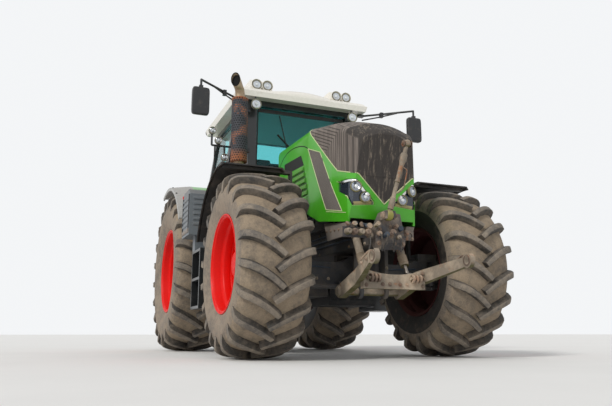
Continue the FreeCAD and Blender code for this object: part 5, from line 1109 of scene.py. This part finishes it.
def couplers(mesh):
    """Four hose couplers in a row, each with a cap on a strap."""
    rng = random.Random(5)
    for i in range(4):
        x = -0.405 + 0.062 * i
        turned_at(mesh, [(0.0, 0.029), (0.012, 0.029), (0.014, 0.025), (0.03, 0.025), (0.032, 0.028),
                         (0.046, 0.028), (0.05, 0.024), (0.062, 0.023), (0.066, 0.014), (0.058, 0.0)],
                  (x, -2.185, 1.09), AHEAD, 20, i % 2)
        tip = Vector((x + rng.uniform(-0.012, 0.012), -2.205, 1.145 + rng.uniform(0.0, 0.018)))
        turned_at(mesh, [(-0.01, 0.02), (0.0, 0.025), (0.006, 0.025), (0.008, 0.018), (0.012, 0.0)], tip,
                  (rng.uniform(-0.5, 0.5), -1, rng.uniform(0.2, 1.1)), 14, CAP_LOOKS[i])
        tube(mesh, [(x + 0.02, -2.19, 1.11), tip + Vector((0.02, -0.012, 0.01)), tip], 0.006, 8, 3)


def valves(mesh):
    """Valves, caps and short pipes in front of the bracket."""
    face = skin_of("front_hitch_bracket")
    loose = random.Random(11)
    for k, (x, z) in enumerate(VALVE_PLACES):
        found = lay(face, (x, -2.6, z), REARWARD)
        root = found[0] if found else Vector((x, -2.235, z))
        way = Vector((loose.uniform(-0.35, 0.35), -1, loose.uniform(-0.1, 0.45))).normalized()
        size = loose.uniform(0.017, 0.025)
        long = loose.uniform(0.04, 0.075)
        body = [(-0.012, size * 0.8), (long * 0.35, size * 0.8), (long * 0.38, size), (long * 0.62, size),
                (long * 0.66, size * 0.72), (long * 0.86, size * 0.72), (long * 0.9, size * 1.08),
                (long, size * 1.05), (long * 1.02, 0.0)]
        turned_at(mesh, body, root, way, 16, CAP_LOOKS[k % 4])
        if k > 4:
            drop = loose.uniform(-0.05, 0.03)
            out = root + way * long
            tube(mesh, rounded_path([out - way * 0.01, out + Vector((drop * 0.4, -0.016, -0.02)),
                                     (x + drop, -2.268, z - 0.085), (x + drop * 1.3, -2.25, 0.925)], 0.03),
                 0.0075, 8, 4)


def coupler_set():
    """Everything small on the front bracket: couplers, bolts, the link's pin and the valves."""
    mesh = bmesh.new()
    couplers(mesh)
    for x, z, size in ((0.0, 1.15, 0.012), (0.105, 1.12, 0.012), (-0.105, 1.12, 0.012), (0.12, 1.0, 0.014),
                       (-0.12, 1.0, 0.014), (0.04, 1.0, 0.01), (-0.04, 1.06, 0.01)):
        bolt(mesh, (x, -2.231, z), AHEAD, size, 1)
    for x, z in ((0.17, 1.12), (0.195, 1.12), (0.245, 1.06)):
        bolt(mesh, (x, -2.186, z), AHEAD, 0.01, 1)
    for side in (1, -1):
        turned_at(mesh, [(0.0, 0.03), (0.01, 0.03), (0.014, 0.022), (0.024, 0.02), (0.026, 0.0)],
                  LINK_FOOT + Vector((0.051 * side, 0, 0)), (side, 0, 0), 18, 1)
    turned_at(mesh, [(-0.028, 0.04), (-0.02, 0.046), (0.02, 0.046), (0.028, 0.04)], LINK_FOOT, (1, 0, 0),
              24, 2)
    valves(mesh)
    for side in (1, -1):
        for k in range(5):
            bolt(mesh, (0.347 * side, -1.98 + 0.09 * k, 1.15 + 0.006 * k), (side, 0, 0), 0.009, 1)
    bevel(make("coupler_set", mesh, "chassis", ["arm", "rust", "olive", "pipe", "rubber"], 30.0), 0.0015)


def top_link():
    """Collars, the catch's eyes and a pipe on the top link."""
    mesh = bmesh.new()
    way = LINK_HEAD - LINK_FOOT
    turned_at(mesh, [(0.05, 0.018), (0.055, 0.027), (0.16, 0.027), (0.165, 0.019)], LINK_FOOT, way, 18)
    turned_at(mesh, [(0.3, 0.018), (0.305, 0.024), (0.32, 0.024), (0.325, 0.02), (0.47, 0.022), (0.5, 0.029),
                     (0.56, 0.032), (0.575, 0.026)], LINK_FOOT, way, 18)
    for side in (1, -1):
        turned_at(mesh, [(0.0, 0.03), (0.006, 0.03), (0.008, 0.014), (0.018, 0.012), (0.019, 0.0)],
                  LINK_HEAD + Vector((0.034 * side, 0, 0)), (side, 0, 0), 18, 1)
    hose = [LINK_FOOT + way * along + Vector(off)
            for along, off in ((0.3, (0.02, -0.02, 0)), (0.36, (0.06, -0.04, 0)), (0.62, (0.05, -0.04, 0)),
                               (0.66, (0.015, -0.015, 0)))]
    tube(mesh, rounded_path(hose, 0.03), 0.006, 8, 1)
    bevel(make("top_link_details", mesh, "chassis", ["arm", "rust"], 30.0), 0.001)


def lift_arms():
    """Hook washers, catches, pipes, shaft collars and pivot covers of the front lift arms."""
    mesh = bmesh.new()
    for side in (1, -1):
        x = HOOK[0] * side
        out = (side, 0, 0)
        for sign in (1, -1):
            turned_at(mesh, [(0.0, 0.046), (0.004, 0.046), (0.004, 0.036)],
                      (x + 0.021 * sign, HOOK[1], HOOK[2]), (sign, 0, 0), 28, 1)
        slab(mesh, (x - 0.012, -2.7, 0.842), (x + 0.012, -2.655, 0.868), 1)
        hose = [(x, y, z) for y, z in ((-2.68, 0.862), (-2.64, 0.862), (-2.56, 0.835), (-2.5, 0.806))]
        tube(mesh, rounded_path(hose, 0.02), 0.008, 8, 1)
        for y, z in ((-2.64, 0.8), (-2.56, 0.775)):
            bolt(mesh, (x + 0.021 * side, y, z), out, 0.011, 1)
        for k in range(3):
            at = (0.165 + 0.036 * k) * side
            turned_at(mesh, [(-0.009, 0.018), (-0.009, 0.036), (0.009, 0.036), (0.009, 0.018)],
                      (at, -2.3, 0.69), (1, 0, 0), 20, 1)
            slab(mesh, (at - 0.009, -2.3, 0.66), (at + 0.009, -2.279, 0.722), 1)
        tube(mesh, [(0.145 * side, -2.3, 0.69), (0.262 * side, -2.3, 0.69)], 0.012)
        bolt(mesh, (0.27 * side, -2.3, 0.69), out, 0.012, 1)
        for along, z in ((0.05, 0.64), (0.12, 0.64), (0.275, 0.63), (0.275, 0.74)):
            bolt(mesh, (along * side, -2.281, z), AHEAD, 0.012, 1)
        turned_at(mesh, [(0.0, 0.052), (0.01, 0.052), (0.014, 0.044), (0.022, 0.04), (0.024, 0.0)],
                  (0.331 * side, -1.85, 0.6), out, 28)
        for a in turn(6):
            bolt(mesh, (0.343 * side, -1.85 + 0.034 * math.cos(a), 0.6 + 0.034 * math.sin(a)), out, 0.006, 1)
    bevel(make("lift_arm_details", mesh, "front_lift", ["arm", "rust"], 30.0), 0.0012)


def ram_boots():
    """Folded boots, collars and pins of the two rams."""
    mesh = bmesh.new()
    for side in (1, -1):
        start = Vector((RAM_TOP[0] * side, RAM_TOP[1], RAM_TOP[2]))
        folds = [(0.262, 0.036)]
        for k in range(6):
            folds += [(0.266 + 0.014 * k, 0.0425), (0.273 + 0.014 * k, 0.0385)]
        upper = [(0.06, 0.036), (0.062, 0.04), (0.082, 0.04), (0.084, 0.036)]
        lower = [(0.355, 0.036), (0.356, 0.039), (0.366, 0.039), (0.3665, 0.02)]
        for slot, profile in ((0, folds + [(0.352, 0.036)]), (1, upper), (1, lower)):
            turned_at(mesh, profile, start, RAM_WAY, 28, slot)
        bolt(mesh, start + Vector((0.026 * side, 0, 0)), (side, 0, 0), 0.014, 1)
    make("ram_boots", mesh, "front_ram_tubes", ["boot", "arm"], 30.0)


coupler_set()
top_link()
lift_arms()
ram_boots()


# Pipes and bolts along the frame

def pipe(mesh, skin, points, way, radius, slot=0):
    """A pipe clipped to a surface along a drawn line."""
    found = [lay(skin, p, way, radius * 0.9) for p in points]
    spots = [f[0] for f in found if f]
    if len(spots) > 1:
        tube(mesh, rounded_path(spots, 0.03), radius, 10, slot)


def running_gear():
    """Pipes and bolts on the frame, axle, knuckles and transmission."""
    mesh = bmesh.new()
    skin = skin_of("front_frame", "front_axle", "rear_axle", "engine")
    for side in (1, -1):
        way = (-side, 0, 0)
        for k, z in enumerate((1.185, 1.145, 1.105)):
            line = [(0.6 * side, y, z - 0.01 * k) for y in (-2.08, -1.95, -1.75, -1.3, -0.9, -0.42)]
            pipe(mesh, skin, line, way, 0.009, 2)
        for y in (-2.02, -1.8, -1.1, -0.7, -0.4):
            for z in (1.215, 1.02):
                bolt_on(mesh, skin, (0.6 * side, y, z), way, 0.011, 1)
        line = [(x * side, -2.2, 0.83 + 0.05 * x) for x in (0.28, 0.4, 0.55, 0.66)]
        pipe(mesh, skin, line, REARWARD, 0.008, 2)
        for x in (0.3, 0.42, 0.54):
            bolt_on(mesh, skin, (x * side, -2.2, 0.74), REARWARD, 0.01, 1)
    for a in turn(10, 0.5):
        u, v = math.cos(a), math.sin(a)
        bolt_on(mesh, skin, (0.135 * u, -2.4, 0.78 + 0.135 * v), REARWARD, 0.01, 1)
        bolt_on(mesh, skin, (0.26 * u, 2.8, 1.0 + 0.26 * v), AHEAD, 0.01, 1)
    bevel(make("running_gear", mesh, "chassis", ["cast", "arm", "pipe"], 30.0), 0.001)


running_gear()


# Exhaust stack

def swept_tip(mesh, line):
    """The stack's end: swept outward and cut on a slant, with soot inside."""
    end = Vector((-0.955, -0.402, 3.115))
    normal = Vector((-0.34, -0.93, 0.04)).normalized()
    across = normal.cross(UP).normalized()
    up = across.cross(normal)
    last = line[-1]
    way = (last - line[-2]).normalized()
    around = 36
    rows = []
    for middle, long, wide, mixed in ((last - way * 0.01, 0.0555, 0.0555, 0.0),
                                      (last.lerp(end, 0.5), 0.07, 0.055, 0.55),
                                      (end, 0.088, 0.054, 1.0),
                                      (end + normal * 0.001, 0.084, 0.0505, 1.0),
                                      (end - normal * 0.03, 0.074, 0.046, 1.0)):
        u = across.cross(way).normalized().lerp(up, mixed).normalized()
        rows.append([mesh.verts.new(middle + u * math.sin(a) * long + across * math.cos(a) * wide)
                     for a in turn(around)])
    for k, (a, b) in enumerate(zip(rows, rows[1:])):
        for i in range(around):
            j = (i + 1) % around
            mesh.faces.new((a[i], a[j], b[j], b[i])).material_index = 1 if k > 1 else 0
    mesh.faces.new(rows[-1]).material_index = 1


def hoop(mesh, z, half, inner, outer, count):
    """A flat ring round the stack."""
    turned(mesh, [(z - half, inner), (z - half, outer), (z + half, outer), (z + half, inner)],
           (STACK_X, STACK_Y, 0), "z", count)


def stack():
    """The exhaust pipe with its joints and tip."""
    line = rounded_path([(-0.415, STACK_Y, 1.72), (STACK_X, STACK_Y, 1.72), (STACK_X, STACK_Y, 2.985),
                         (-0.887, -0.326, 3.04)], 0.12, 7)
    mesh = bmesh.new()
    tube(mesh, line, 0.055, 36, capped=False)
    swept_tip(mesh, line)
    for z in (2.14, 2.935):
        hoop(mesh, z, 0.014, 0.055, 0.06, 36)
    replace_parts(make("exhaust_stack", mesh, "chassis", ["tan", "soot"], 35.0), "exhaust_pipe")


def shield_bands():
    """Clamp bands round the shield, and its two brackets."""
    mesh = bmesh.new()
    for z in (2.165, 2.4, 2.65, 2.905):
        hoop(mesh, z, 0.01, 0.0945, 0.0975, 48)
    for z in (2.3, 2.78):
        slab(mesh, (-0.79, -0.32, z - 0.02), (-0.745, -0.29, z + 0.02))
    make("shield_bands", mesh, "chassis", ["shield"], 35.0)


stack()
shield_bands()


# Mirrors

def mirrors():
    """Rounded mirror housings with a two-part glass, a clamp and a second stay."""
    mesh = bmesh.new()
    for side in (1, -1):
        x = 1.37 * side
        rounded_box(mesh, (x - 0.098, -0.51, 2.6), (x + 0.098, -0.452, 2.92), 0.24, (36, 20))
        slab(mesh, (x - 0.086, -0.4535, 2.7), (x + 0.086, -0.45, 2.905), 1)
        slab(mesh, (x - 0.086, -0.4535, 2.615), (x + 0.086, -0.45, 2.69), 1)
        slab(mesh, (x - 0.022, -0.498, 2.885), (x + 0.022, -0.462, 2.945))
        tube(mesh, [(0.84 * side, -0.075, 2.955), (1.02 * side, -0.225, 2.972), (1.2 * side, -0.362, 3.004)],
             0.009, 10)
        x = 1.04 * side
        slab(mesh, (x - 0.02, -0.26, 2.965), (x + 0.02, -0.212, 3.028))
    made = make("mirror_housings", mesh, "chassis", ["black", "mirror"], 40.0)
    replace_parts(made, "mirror_heads")


mirrors()


# Cab: seals, wiper, rails, handle, lining and controls

CAB_SKIN = skin_of("cab_frame", "cab_glass")


def cab_trim():
    """Dark seals round the glass, the wiper, the lamp rail and the grab rails."""
    mesh = bmesh.new()
    for side in (1, -1):
        band(mesh, CAB_SKIN, [(0.575 * side, -1.0, 2.9), (0.625 * side, -1.0, 2.16)], REARWARD, 0.014, 0.004)
        for seal in (((-0.02, 2.9), (0.5, 2.9), (0.52, 2.0)),
                     ((0.66, 2.9), (1.4, 2.9), (1.44, 2.34), (0.68, 2.34), (0.66, 2.9))):
            band(mesh, CAB_SKIN, [(1.1 * side, y, z) for y, z in seal], (-side, 0, 0), 0.01, 0.004)
    band(mesh, CAB_SKIN, [(-0.575, -1.0, 2.905), (0.575, -1.0, 2.905)], REARWARD, 0.05, 0.003)
    band(mesh, CAB_SKIN, [(-0.6, -1.0, 2.15), (0.6, -1.0, 2.15)], REARWARD, 0.03, 0.004)
    band(mesh, CAB_SKIN, [(0.02, -1.0, 2.17), (-0.1, -1.0, 2.35), (-0.34, -1.0, 2.6)], REARWARD, 0.014, 0.016,
         lift=0.004)
    band(mesh, CAB_SKIN, [(-0.2, -1.0, 2.26), (-0.3, -1.0, 2.86)], REARWARD, 0.009, 0.012, lift=0.003)
    spot, normal = lay(CAB_SKIN, (0.02, -1.0, 2.165), REARWARD)
    turned_at(mesh, [(0.0, 0.024), (0.012, 0.024), (0.02, 0.016), (0.022, 0.0)], spot, normal, 18)
    for path in ([(-1.105, -0.1, 2.385), (-1.105, -0.1, 1.965), (-0.8, -0.06, 1.965)],
                 [(-0.99, -0.1, 2.385), (-0.99, -0.1, 2.3)]):
        tube(mesh, rounded_path(path, 0.05), 0.01, 10)
    for side in (1, -1):
        for rail in (((0.8, -0.15, 1.5), (0.905, -0.165, 1.52), (0.905, -0.165, 1.96), (0.825, -0.15, 1.99)),
                     ((0.935, 0.445, 1.3), (1.0, 0.46, 1.34), (1.0, 0.47, 1.52), (0.85, 0.56, 1.62))):
            tube(mesh, rounded_path([(x * side, y, z) for x, y, z in rail], 0.05), 0.012, 10)
    make("cab_trim", mesh, "chassis", ["gap"], 35.0)


def door_trim():
    """The door's seal and its handle."""
    mesh = bmesh.new()
    skin = skin_of("door_frame", "door_glass")
    edge = ((-0.075, 2.88), (0.44, 2.88), (0.47, 1.56), (-0.04, 1.56), (-0.075, 2.88))
    band(mesh, skin, [(1.2, y, z) for y, z in edge], (-1, 0, 0), 0.01, 0.004)
    found = lay(skin, (1.2, -0.095, 1.76), (-1, 0, 0))
    if found:
        spot = found[0]
        rounded_box(mesh, spot + Vector((-0.004, -0.03, -0.07)), spot + Vector((0.022, 0.03, 0.07)), 0.3,
                    (20, 12))
        grip = [spot + Vector((x, 0, z))
                for x, z in ((0.016, -0.055), (0.04, -0.045), (0.04, 0.045), (0.016, 0.055))]
        tube(mesh, rounded_path(grip, 0.012), 0.008, 8)
    make("door_trim", mesh, "door", ["gap"], 35.0)


def cab_interior():
    """The ceiling's lining, pale teal as painted light from the windows, and the consoles, levers, screen and
    pedals.
    """
    mesh = bmesh.new()
    ceiling = lay(CAB_SKIN, (0.0, 0.7, 2.5), (0, 0, 1))[0].z
    # Both ceiling slabs are lined in pale teal, painted light for the window light and sky reflections on the
    # ceiling.
    slab(mesh, (-0.56, 0.02, ceiling - 0.012), (0.56, 1.4, ceiling + 0.01))
    slab(mesh, (-0.5, 0.05, ceiling - 0.04), (0.5, 0.3, ceiling - 0.005))
    rounded_box(mesh, (-0.48, 0.62, 1.9), (-0.3, 1.08, 2.13), 0.25, (24, 14), 1)
    tube(mesh, rounded_path([(-0.395, 0.64, 2.06), (-0.395, 0.58, 2.13), (-0.395, 0.56, 2.24)], 0.03), 0.014,
         10, 1)
    rounded_box(mesh, (-0.44, 0.52, 2.21), (-0.35, 0.62, 2.3), 0.35, (20, 12), 1)
    rounded_box(mesh, (-0.52, 0.26, 2.2), (-0.3, 0.3, 2.38), 0.2, (24, 14), 1)
    tube(mesh, [(-0.43, 0.3, 2.26), (-0.5, 0.5, 2.06), (-0.42, 0.7, 2.0)], 0.012, 10, 1)
    for x in (-0.12, 0.12):
        slab(mesh, (x - 0.03, -0.02, 1.47), (x + 0.03, 0.03, 1.56), 1)
    bevel(make("cab_interior", mesh, "chassis", ["lining", "black"], 35.0), 0.006, 2)


cab_trim()
door_trim()
cab_interior()


# Seat

def seat_pads():
    """A crowned cushion and backrest with sewn channels, bolsters and a headrest."""
    mesh = bmesh.new()
    rounded_box(mesh, (-0.238, 0.478, 1.905), (0.238, 0.96, 2.015), 0.34, (56, 30),
                channels=[(1, -0.35, 0.1, 0.06), (1, 0.25, 0.1, 0.06)])
    rounded_box(mesh, (-0.225, 0.958, 1.975), (0.225, 1.062, 2.42), 0.34, (56, 40),
                channels=[(2, -0.3, 0.1, 0.05), (2, 0.2, 0.1, 0.05)])
    rounded_box(mesh, (-0.15, 0.975, 2.43), (0.15, 1.055, 2.555), 0.34, (40, 24))
    for side in (1, -1):
        x = 0.18 * side
        rounded_box(mesh, (x - 0.062, 0.52, 1.96), (x + 0.062, 0.94, 2.019), 0.45, (28, 20))
        x = 0.188 * side
        rounded_box(mesh, (x - 0.058, 0.952, 2.02), (x + 0.058, 1.03, 2.4), 0.45, (28, 24))
    made = make("seat_pads", mesh, "chassis", ["seat"], 60.0)
    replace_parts(made, "seat")


def seat_frame():
    """The pan, the folded boot of the spring and the armrests."""
    mesh = bmesh.new()
    slab(mesh, (-0.205, 0.5, 1.885), (0.205, 0.98, 1.912))
    for k in range(5):
        z = 1.5 + 0.075 * k
        turned(mesh, [(z, 0.15), (z + 0.03, 0.162), (z + 0.06, 0.15)], (0, 0.77, 0), "z", 28)
    for side in (1, -1):
        x = 0.285 * side
        rounded_box(mesh, (x - 0.035, 0.64, 2.12), (x + 0.035, 0.98, 2.17), 0.3, (24, 12))
        tube(mesh, [(x, 0.96, 2.14), (0.21 * side, 1.02, 2.12)], 0.016, 10)
    make("seat_frame", mesh, "chassis", ["black"], 40.0)


seat_pads()
seat_frame()


# Flanks and rear

def tank_side(mesh, skin, side):
    """Straps, ribs and the filler cap of one tank."""
    way = (-side, 0, 0)
    for y in (-0.02, 0.33):
        band(mesh, skin, [(1.3 * side, y, 0.66), (1.3 * side, y, 1.24)], way, 0.045, 0.005, 1)
        band(mesh, skin, [(x * side, y, 0.2) for x in (0.36, 0.92)], (0, 0, 1), 0.045, 0.005, 1)
        for z in (0.68, 1.22):
            bolt(mesh, (0.9455 * side, y, z), (side, 0, 0), 0.009, 1)
    for k in range(4):
        z = 0.74 + 0.13 * k
        band(mesh, skin, [(1.3 * side, -0.12, z), (1.3 * side, 0.44, z)], way, 0.02, 0.004, 3)
    turned_at(mesh, [(0.0, 0.055), (0.03, 0.055), (0.036, 0.048), (0.04, 0.0)], (0.8 * side, -0.13, 1.285),
              (0, -0.7, 0.7), 24, 3)


def treads(mesh, side):
    """Raised bars on the three steps, and their bolts."""
    near, far = sorted((0.955 * side, 1.225 * side))
    for index in range(3):
        z = 0.53 + 0.32 * index
        for k in range(9):
            y = -0.085 + 0.045 * k
            slab(mesh, (near, y, z), (far, y + 0.014, z + 0.007), 1)
        for x in (0.99, 1.19):
            for y, way in ((-0.121, -1), (0.311, 1)):
                bolt(mesh, (x * side, y, z - 0.016), (0, way, 0), 0.008, 1)


def flank_details():
    """Battery box slats and straps, tank fittings and step treads."""
    mesh = bmesh.new()
    skin = skin_of("battery_box")
    for k in range(6):
        z = 1.48 + 0.062 * k
        band(mesh, skin, [(-1.6, 0.165, z), (-1.6, 0.485, z)], (1, 0, 0), 0.034, 0.01)
        band(mesh, skin, [(-1.285, -0.3, z), (-0.985, -0.3, z)], REARWARD, 0.034, 0.01)
    for y in (0.15, 0.5):
        band(mesh, skin, [(-1.6, y, 1.39), (-1.6, y, 1.835)], (1, 0, 0), 0.014, 0.012, 1)
    band(mesh, skin, [(-1.6, 0.14, 1.405), (-1.6, 0.51, 1.405)], (1, 0, 0), 0.05, 0.01, 2)
    skin = skin_of("tanks")
    for side in (1, -1):
        tank_side(mesh, skin, side)
        treads(mesh, side)
    bevel(make("flank_details", mesh, "chassis", ["slate", "cab", "grey", "black"], 35.0), 0.0012)


def rear_lamps():
    """Marker lamps and bolts on the rear fenders."""
    mesh = bmesh.new()
    skin = skin_of("fender_wings", "rear_fenders")
    for side in (1, -1):
        for slot, x in enumerate((1.245, 1.165)):
            found = lay(skin, (x * side, 3.4, 1.905), AHEAD)
            if found:
                spot = found[0]
                low, high = spot + Vector((-0.036, -0.02, -0.05)), spot + Vector((0.036, 0.026, 0.05))
                rounded_box(mesh, low, high, 0.2, (28, 16), slot)
        for y in (1.0, 1.3, 1.62, 1.9):
            bolt_on(mesh, skin, (1.34 * side, y, 3.2), DOWN, 0.009, 2)
    make("rear_lamps", mesh, "chassis", ["tail", "orange", "black"], 40.0)


def rear_couplings():
    """Hose couplings, cover bolts and the splines of the rear shaft."""
    mesh = bmesh.new()
    skin = skin_of("rear_axle")
    for i in range(6):
        found = lay(skin, (-0.19 + 0.076 * i, 3.2, 1.18), AHEAD)
        if found:
            turned_at(mesh, [(-0.01, 0.026), (0.02, 0.026), (0.022, 0.02), (0.042, 0.02), (0.044, 0.024),
                             (0.058, 0.024), (0.062, 0.0)], found[0], REARWARD, 18, i % 3)
    for a in turn(12):
        bolt_on(mesh, skin, (0.13 * math.cos(a), 3.2, 0.72 + 0.1 * math.sin(a)), AHEAD, 0.009)
    for a in turn(6):
        x, z = 0.0205 * math.cos(a), 0.72 + 0.0205 * math.sin(a)
        tube(mesh, [(x, 1.925, z), (x, 1.998, z)], 0.0016, 6)
    bevel(make("rear_couplings", mesh, "chassis", ["arm", "orange", "pipe"], 35.0), 0.001)


flank_details()
rear_lamps()
rear_couplings()


# Front fenders and engine bay

def fender_edges():
    """Rolled edges and bolts on the front fenders, on the knuckles that steer them."""
    for side, word in ((1, "left"), (-1, "right")):
        mesh = bmesh.new()
        skin = skin_of("front_fender_%s" % word)
        for x in (0.765, 1.352):
            line = [(x * side, y, 2.6) for y in (-1.5, -1.3, -1.05, -0.85, -0.7)]
            band(mesh, skin, line, DOWN, 0.018, 0.006, step=0.03)
        for x in (0.92, 1.06, 1.2):
            line = [(x * side, y, 2.6) for y in (-1.47, -1.2, -0.95, -0.75)]
            band(mesh, skin, line, DOWN, 0.01, 0.003, step=0.04)
        for x in (0.8, 0.95):
            for y in (-1.15, -1.05):
                bolt_on(mesh, skin, (x * side, y, 2.6), DOWN, 0.009)
        make("guard_edges_%s" % word, mesh, "%s_knuckle" % word, ["guard"], 35.0)


def bay():
    """What the open hood shows: engine cover ribs, filter, pipes and fan shroud."""
    mesh = bmesh.new()
    skin = skin_of("engine", "cooler")
    for k in range(6):
        y = -1.5 + 0.185 * k
        band(mesh, skin, [(x, y, 2.6) for x in (-0.2, 0.2)], DOWN, 0.05, 0.018)
        for side in (1, -1):
            band(mesh, skin, [(0.6 * side, y, 1.34), (0.6 * side, y, 1.9)], (-side, 0, 0), 0.034, 0.012)
    for side in (1, -1):
        for z in (1.42, 1.6, 1.78):
            pipe(mesh, skin, [(0.6 * side, y, z) for y in (-1.55, -1.2, -0.9, -0.5)], (-side, 0, 0), 0.01, 2)
        for y in (-1.4, -1.05, -0.7):
            turned_at(mesh, [(0.0, 0.048), (0.04, 0.048), (0.05, 0.04), (0.055, 0.0)], (0.27 * side, y, 1.51),
                      (side, 0, 0), 24, 1)
    cleaner = [(0.0, 0.085), (0.42, 0.085), (0.44, 0.07), (0.445, 0.0)]
    turned_at(mesh, cleaner, (0.05, -1.35, 2.04), REARWARD, 32, 1)
    shroud = [(-0.004, 0.2), (-0.018, 0.2), (-0.018, 0.17), (-0.006, 0.16)]
    turned_at(mesh, shroud, (0, -1.91, 1.56), AHEAD, 40, 1)
    bevel(make("engine_bay", mesh, "chassis", ["cast", "black", "pipe"], 35.0), 0.001)


fender_edges()
bay()


# Stage, light and camera

def stage():
    """A wide pale floor."""
    mesh = bmesh.new()
    bmesh.ops.create_grid(mesh, x_segments=1, y_segments=1, size=140.0)
    data = bpy.data.meshes.new("ground")
    mesh.to_mesh(data)
    mesh.free()
    floor = bpy.data.objects.new("ground", data)
    scene.collection.objects.link(floor)
    g = Graph("ground_pale")
    cloud = g.step(g.noise(0.8, 6.0), 0.3, 0.7)
    g.set("Base Color", g.mix(cloud, (0.78, 0.775, 0.765), (0.81, 0.805, 0.795)))
    g.set("Roughness", 0.9)
    data.materials.append(g.mat)


def sky():
    """An even pale sky, brighter where it is seen directly, through glass or in a reflection."""
    world = bpy.data.worlds.new("sky")
    scene.world = world
    world.use_nodes = True
    tree = world.node_tree
    rays = tree.nodes.new("ShaderNodeLightPath")
    seen = rays.outputs["Is Camera Ray"]
    for kind in ("Is Transmission Ray", "Is Glossy Ray"):
        most = tree.nodes.new("ShaderNodeMath")
        most.operation = "MAXIMUM"
        tree.links.new(seen, most.inputs[0])
        tree.links.new(rays.outputs[kind], most.inputs[1])
        seen = most.outputs[0]
    level = tree.nodes.new("ShaderNodeMapRange")
    level.inputs["To Min"].default_value = 0.62
    level.inputs["To Max"].default_value = 0.93
    tree.links.new(seen, level.inputs["Value"])
    back = tree.nodes["Background"]
    back.inputs["Color"].default_value = (0.97, 0.985, 1.0, 1)
    tree.links.new(level.outputs[0], back.inputs["Strength"])


def aim(obj, way):
    """Points a lamp or camera along a direction."""
    obj.rotation_mode = "QUATERNION"
    obj.rotation_quaternion = Vector(way).to_track_quat("-Z", "Y")


def sunlight():
    """Soft light from the upper left."""
    sun = bpy.data.lights.new("key", "SUN")
    sun.energy = 1.7
    sun.angle = math.radians(14)
    sun.color = (1.0, 0.97, 0.92)
    lamp = bpy.data.objects.new("key", sun)
    scene.collection.objects.link(lamp)
    aim(lamp, (0.7, 0.38, -0.62))


def viewpoint():
    """A camera low in front of the right side, looking up at the cab."""
    camera = bpy.data.cameras.new("camera")
    camera.lens = 36.45
    camera.sensor_width = 36.0
    camera.clip_end = 400.0
    eye = bpy.data.objects.new("camera", camera)
    scene.collection.objects.link(eye)
    eye.location = (-2.686, -6.967, 0.227)
    aim(eye, (0.3615, 0.9093, 0.2062))
    scene.camera = eye


stage()
sky()
sunlight()
viewpoint()
scene.view_settings.view_transform = "Standard"
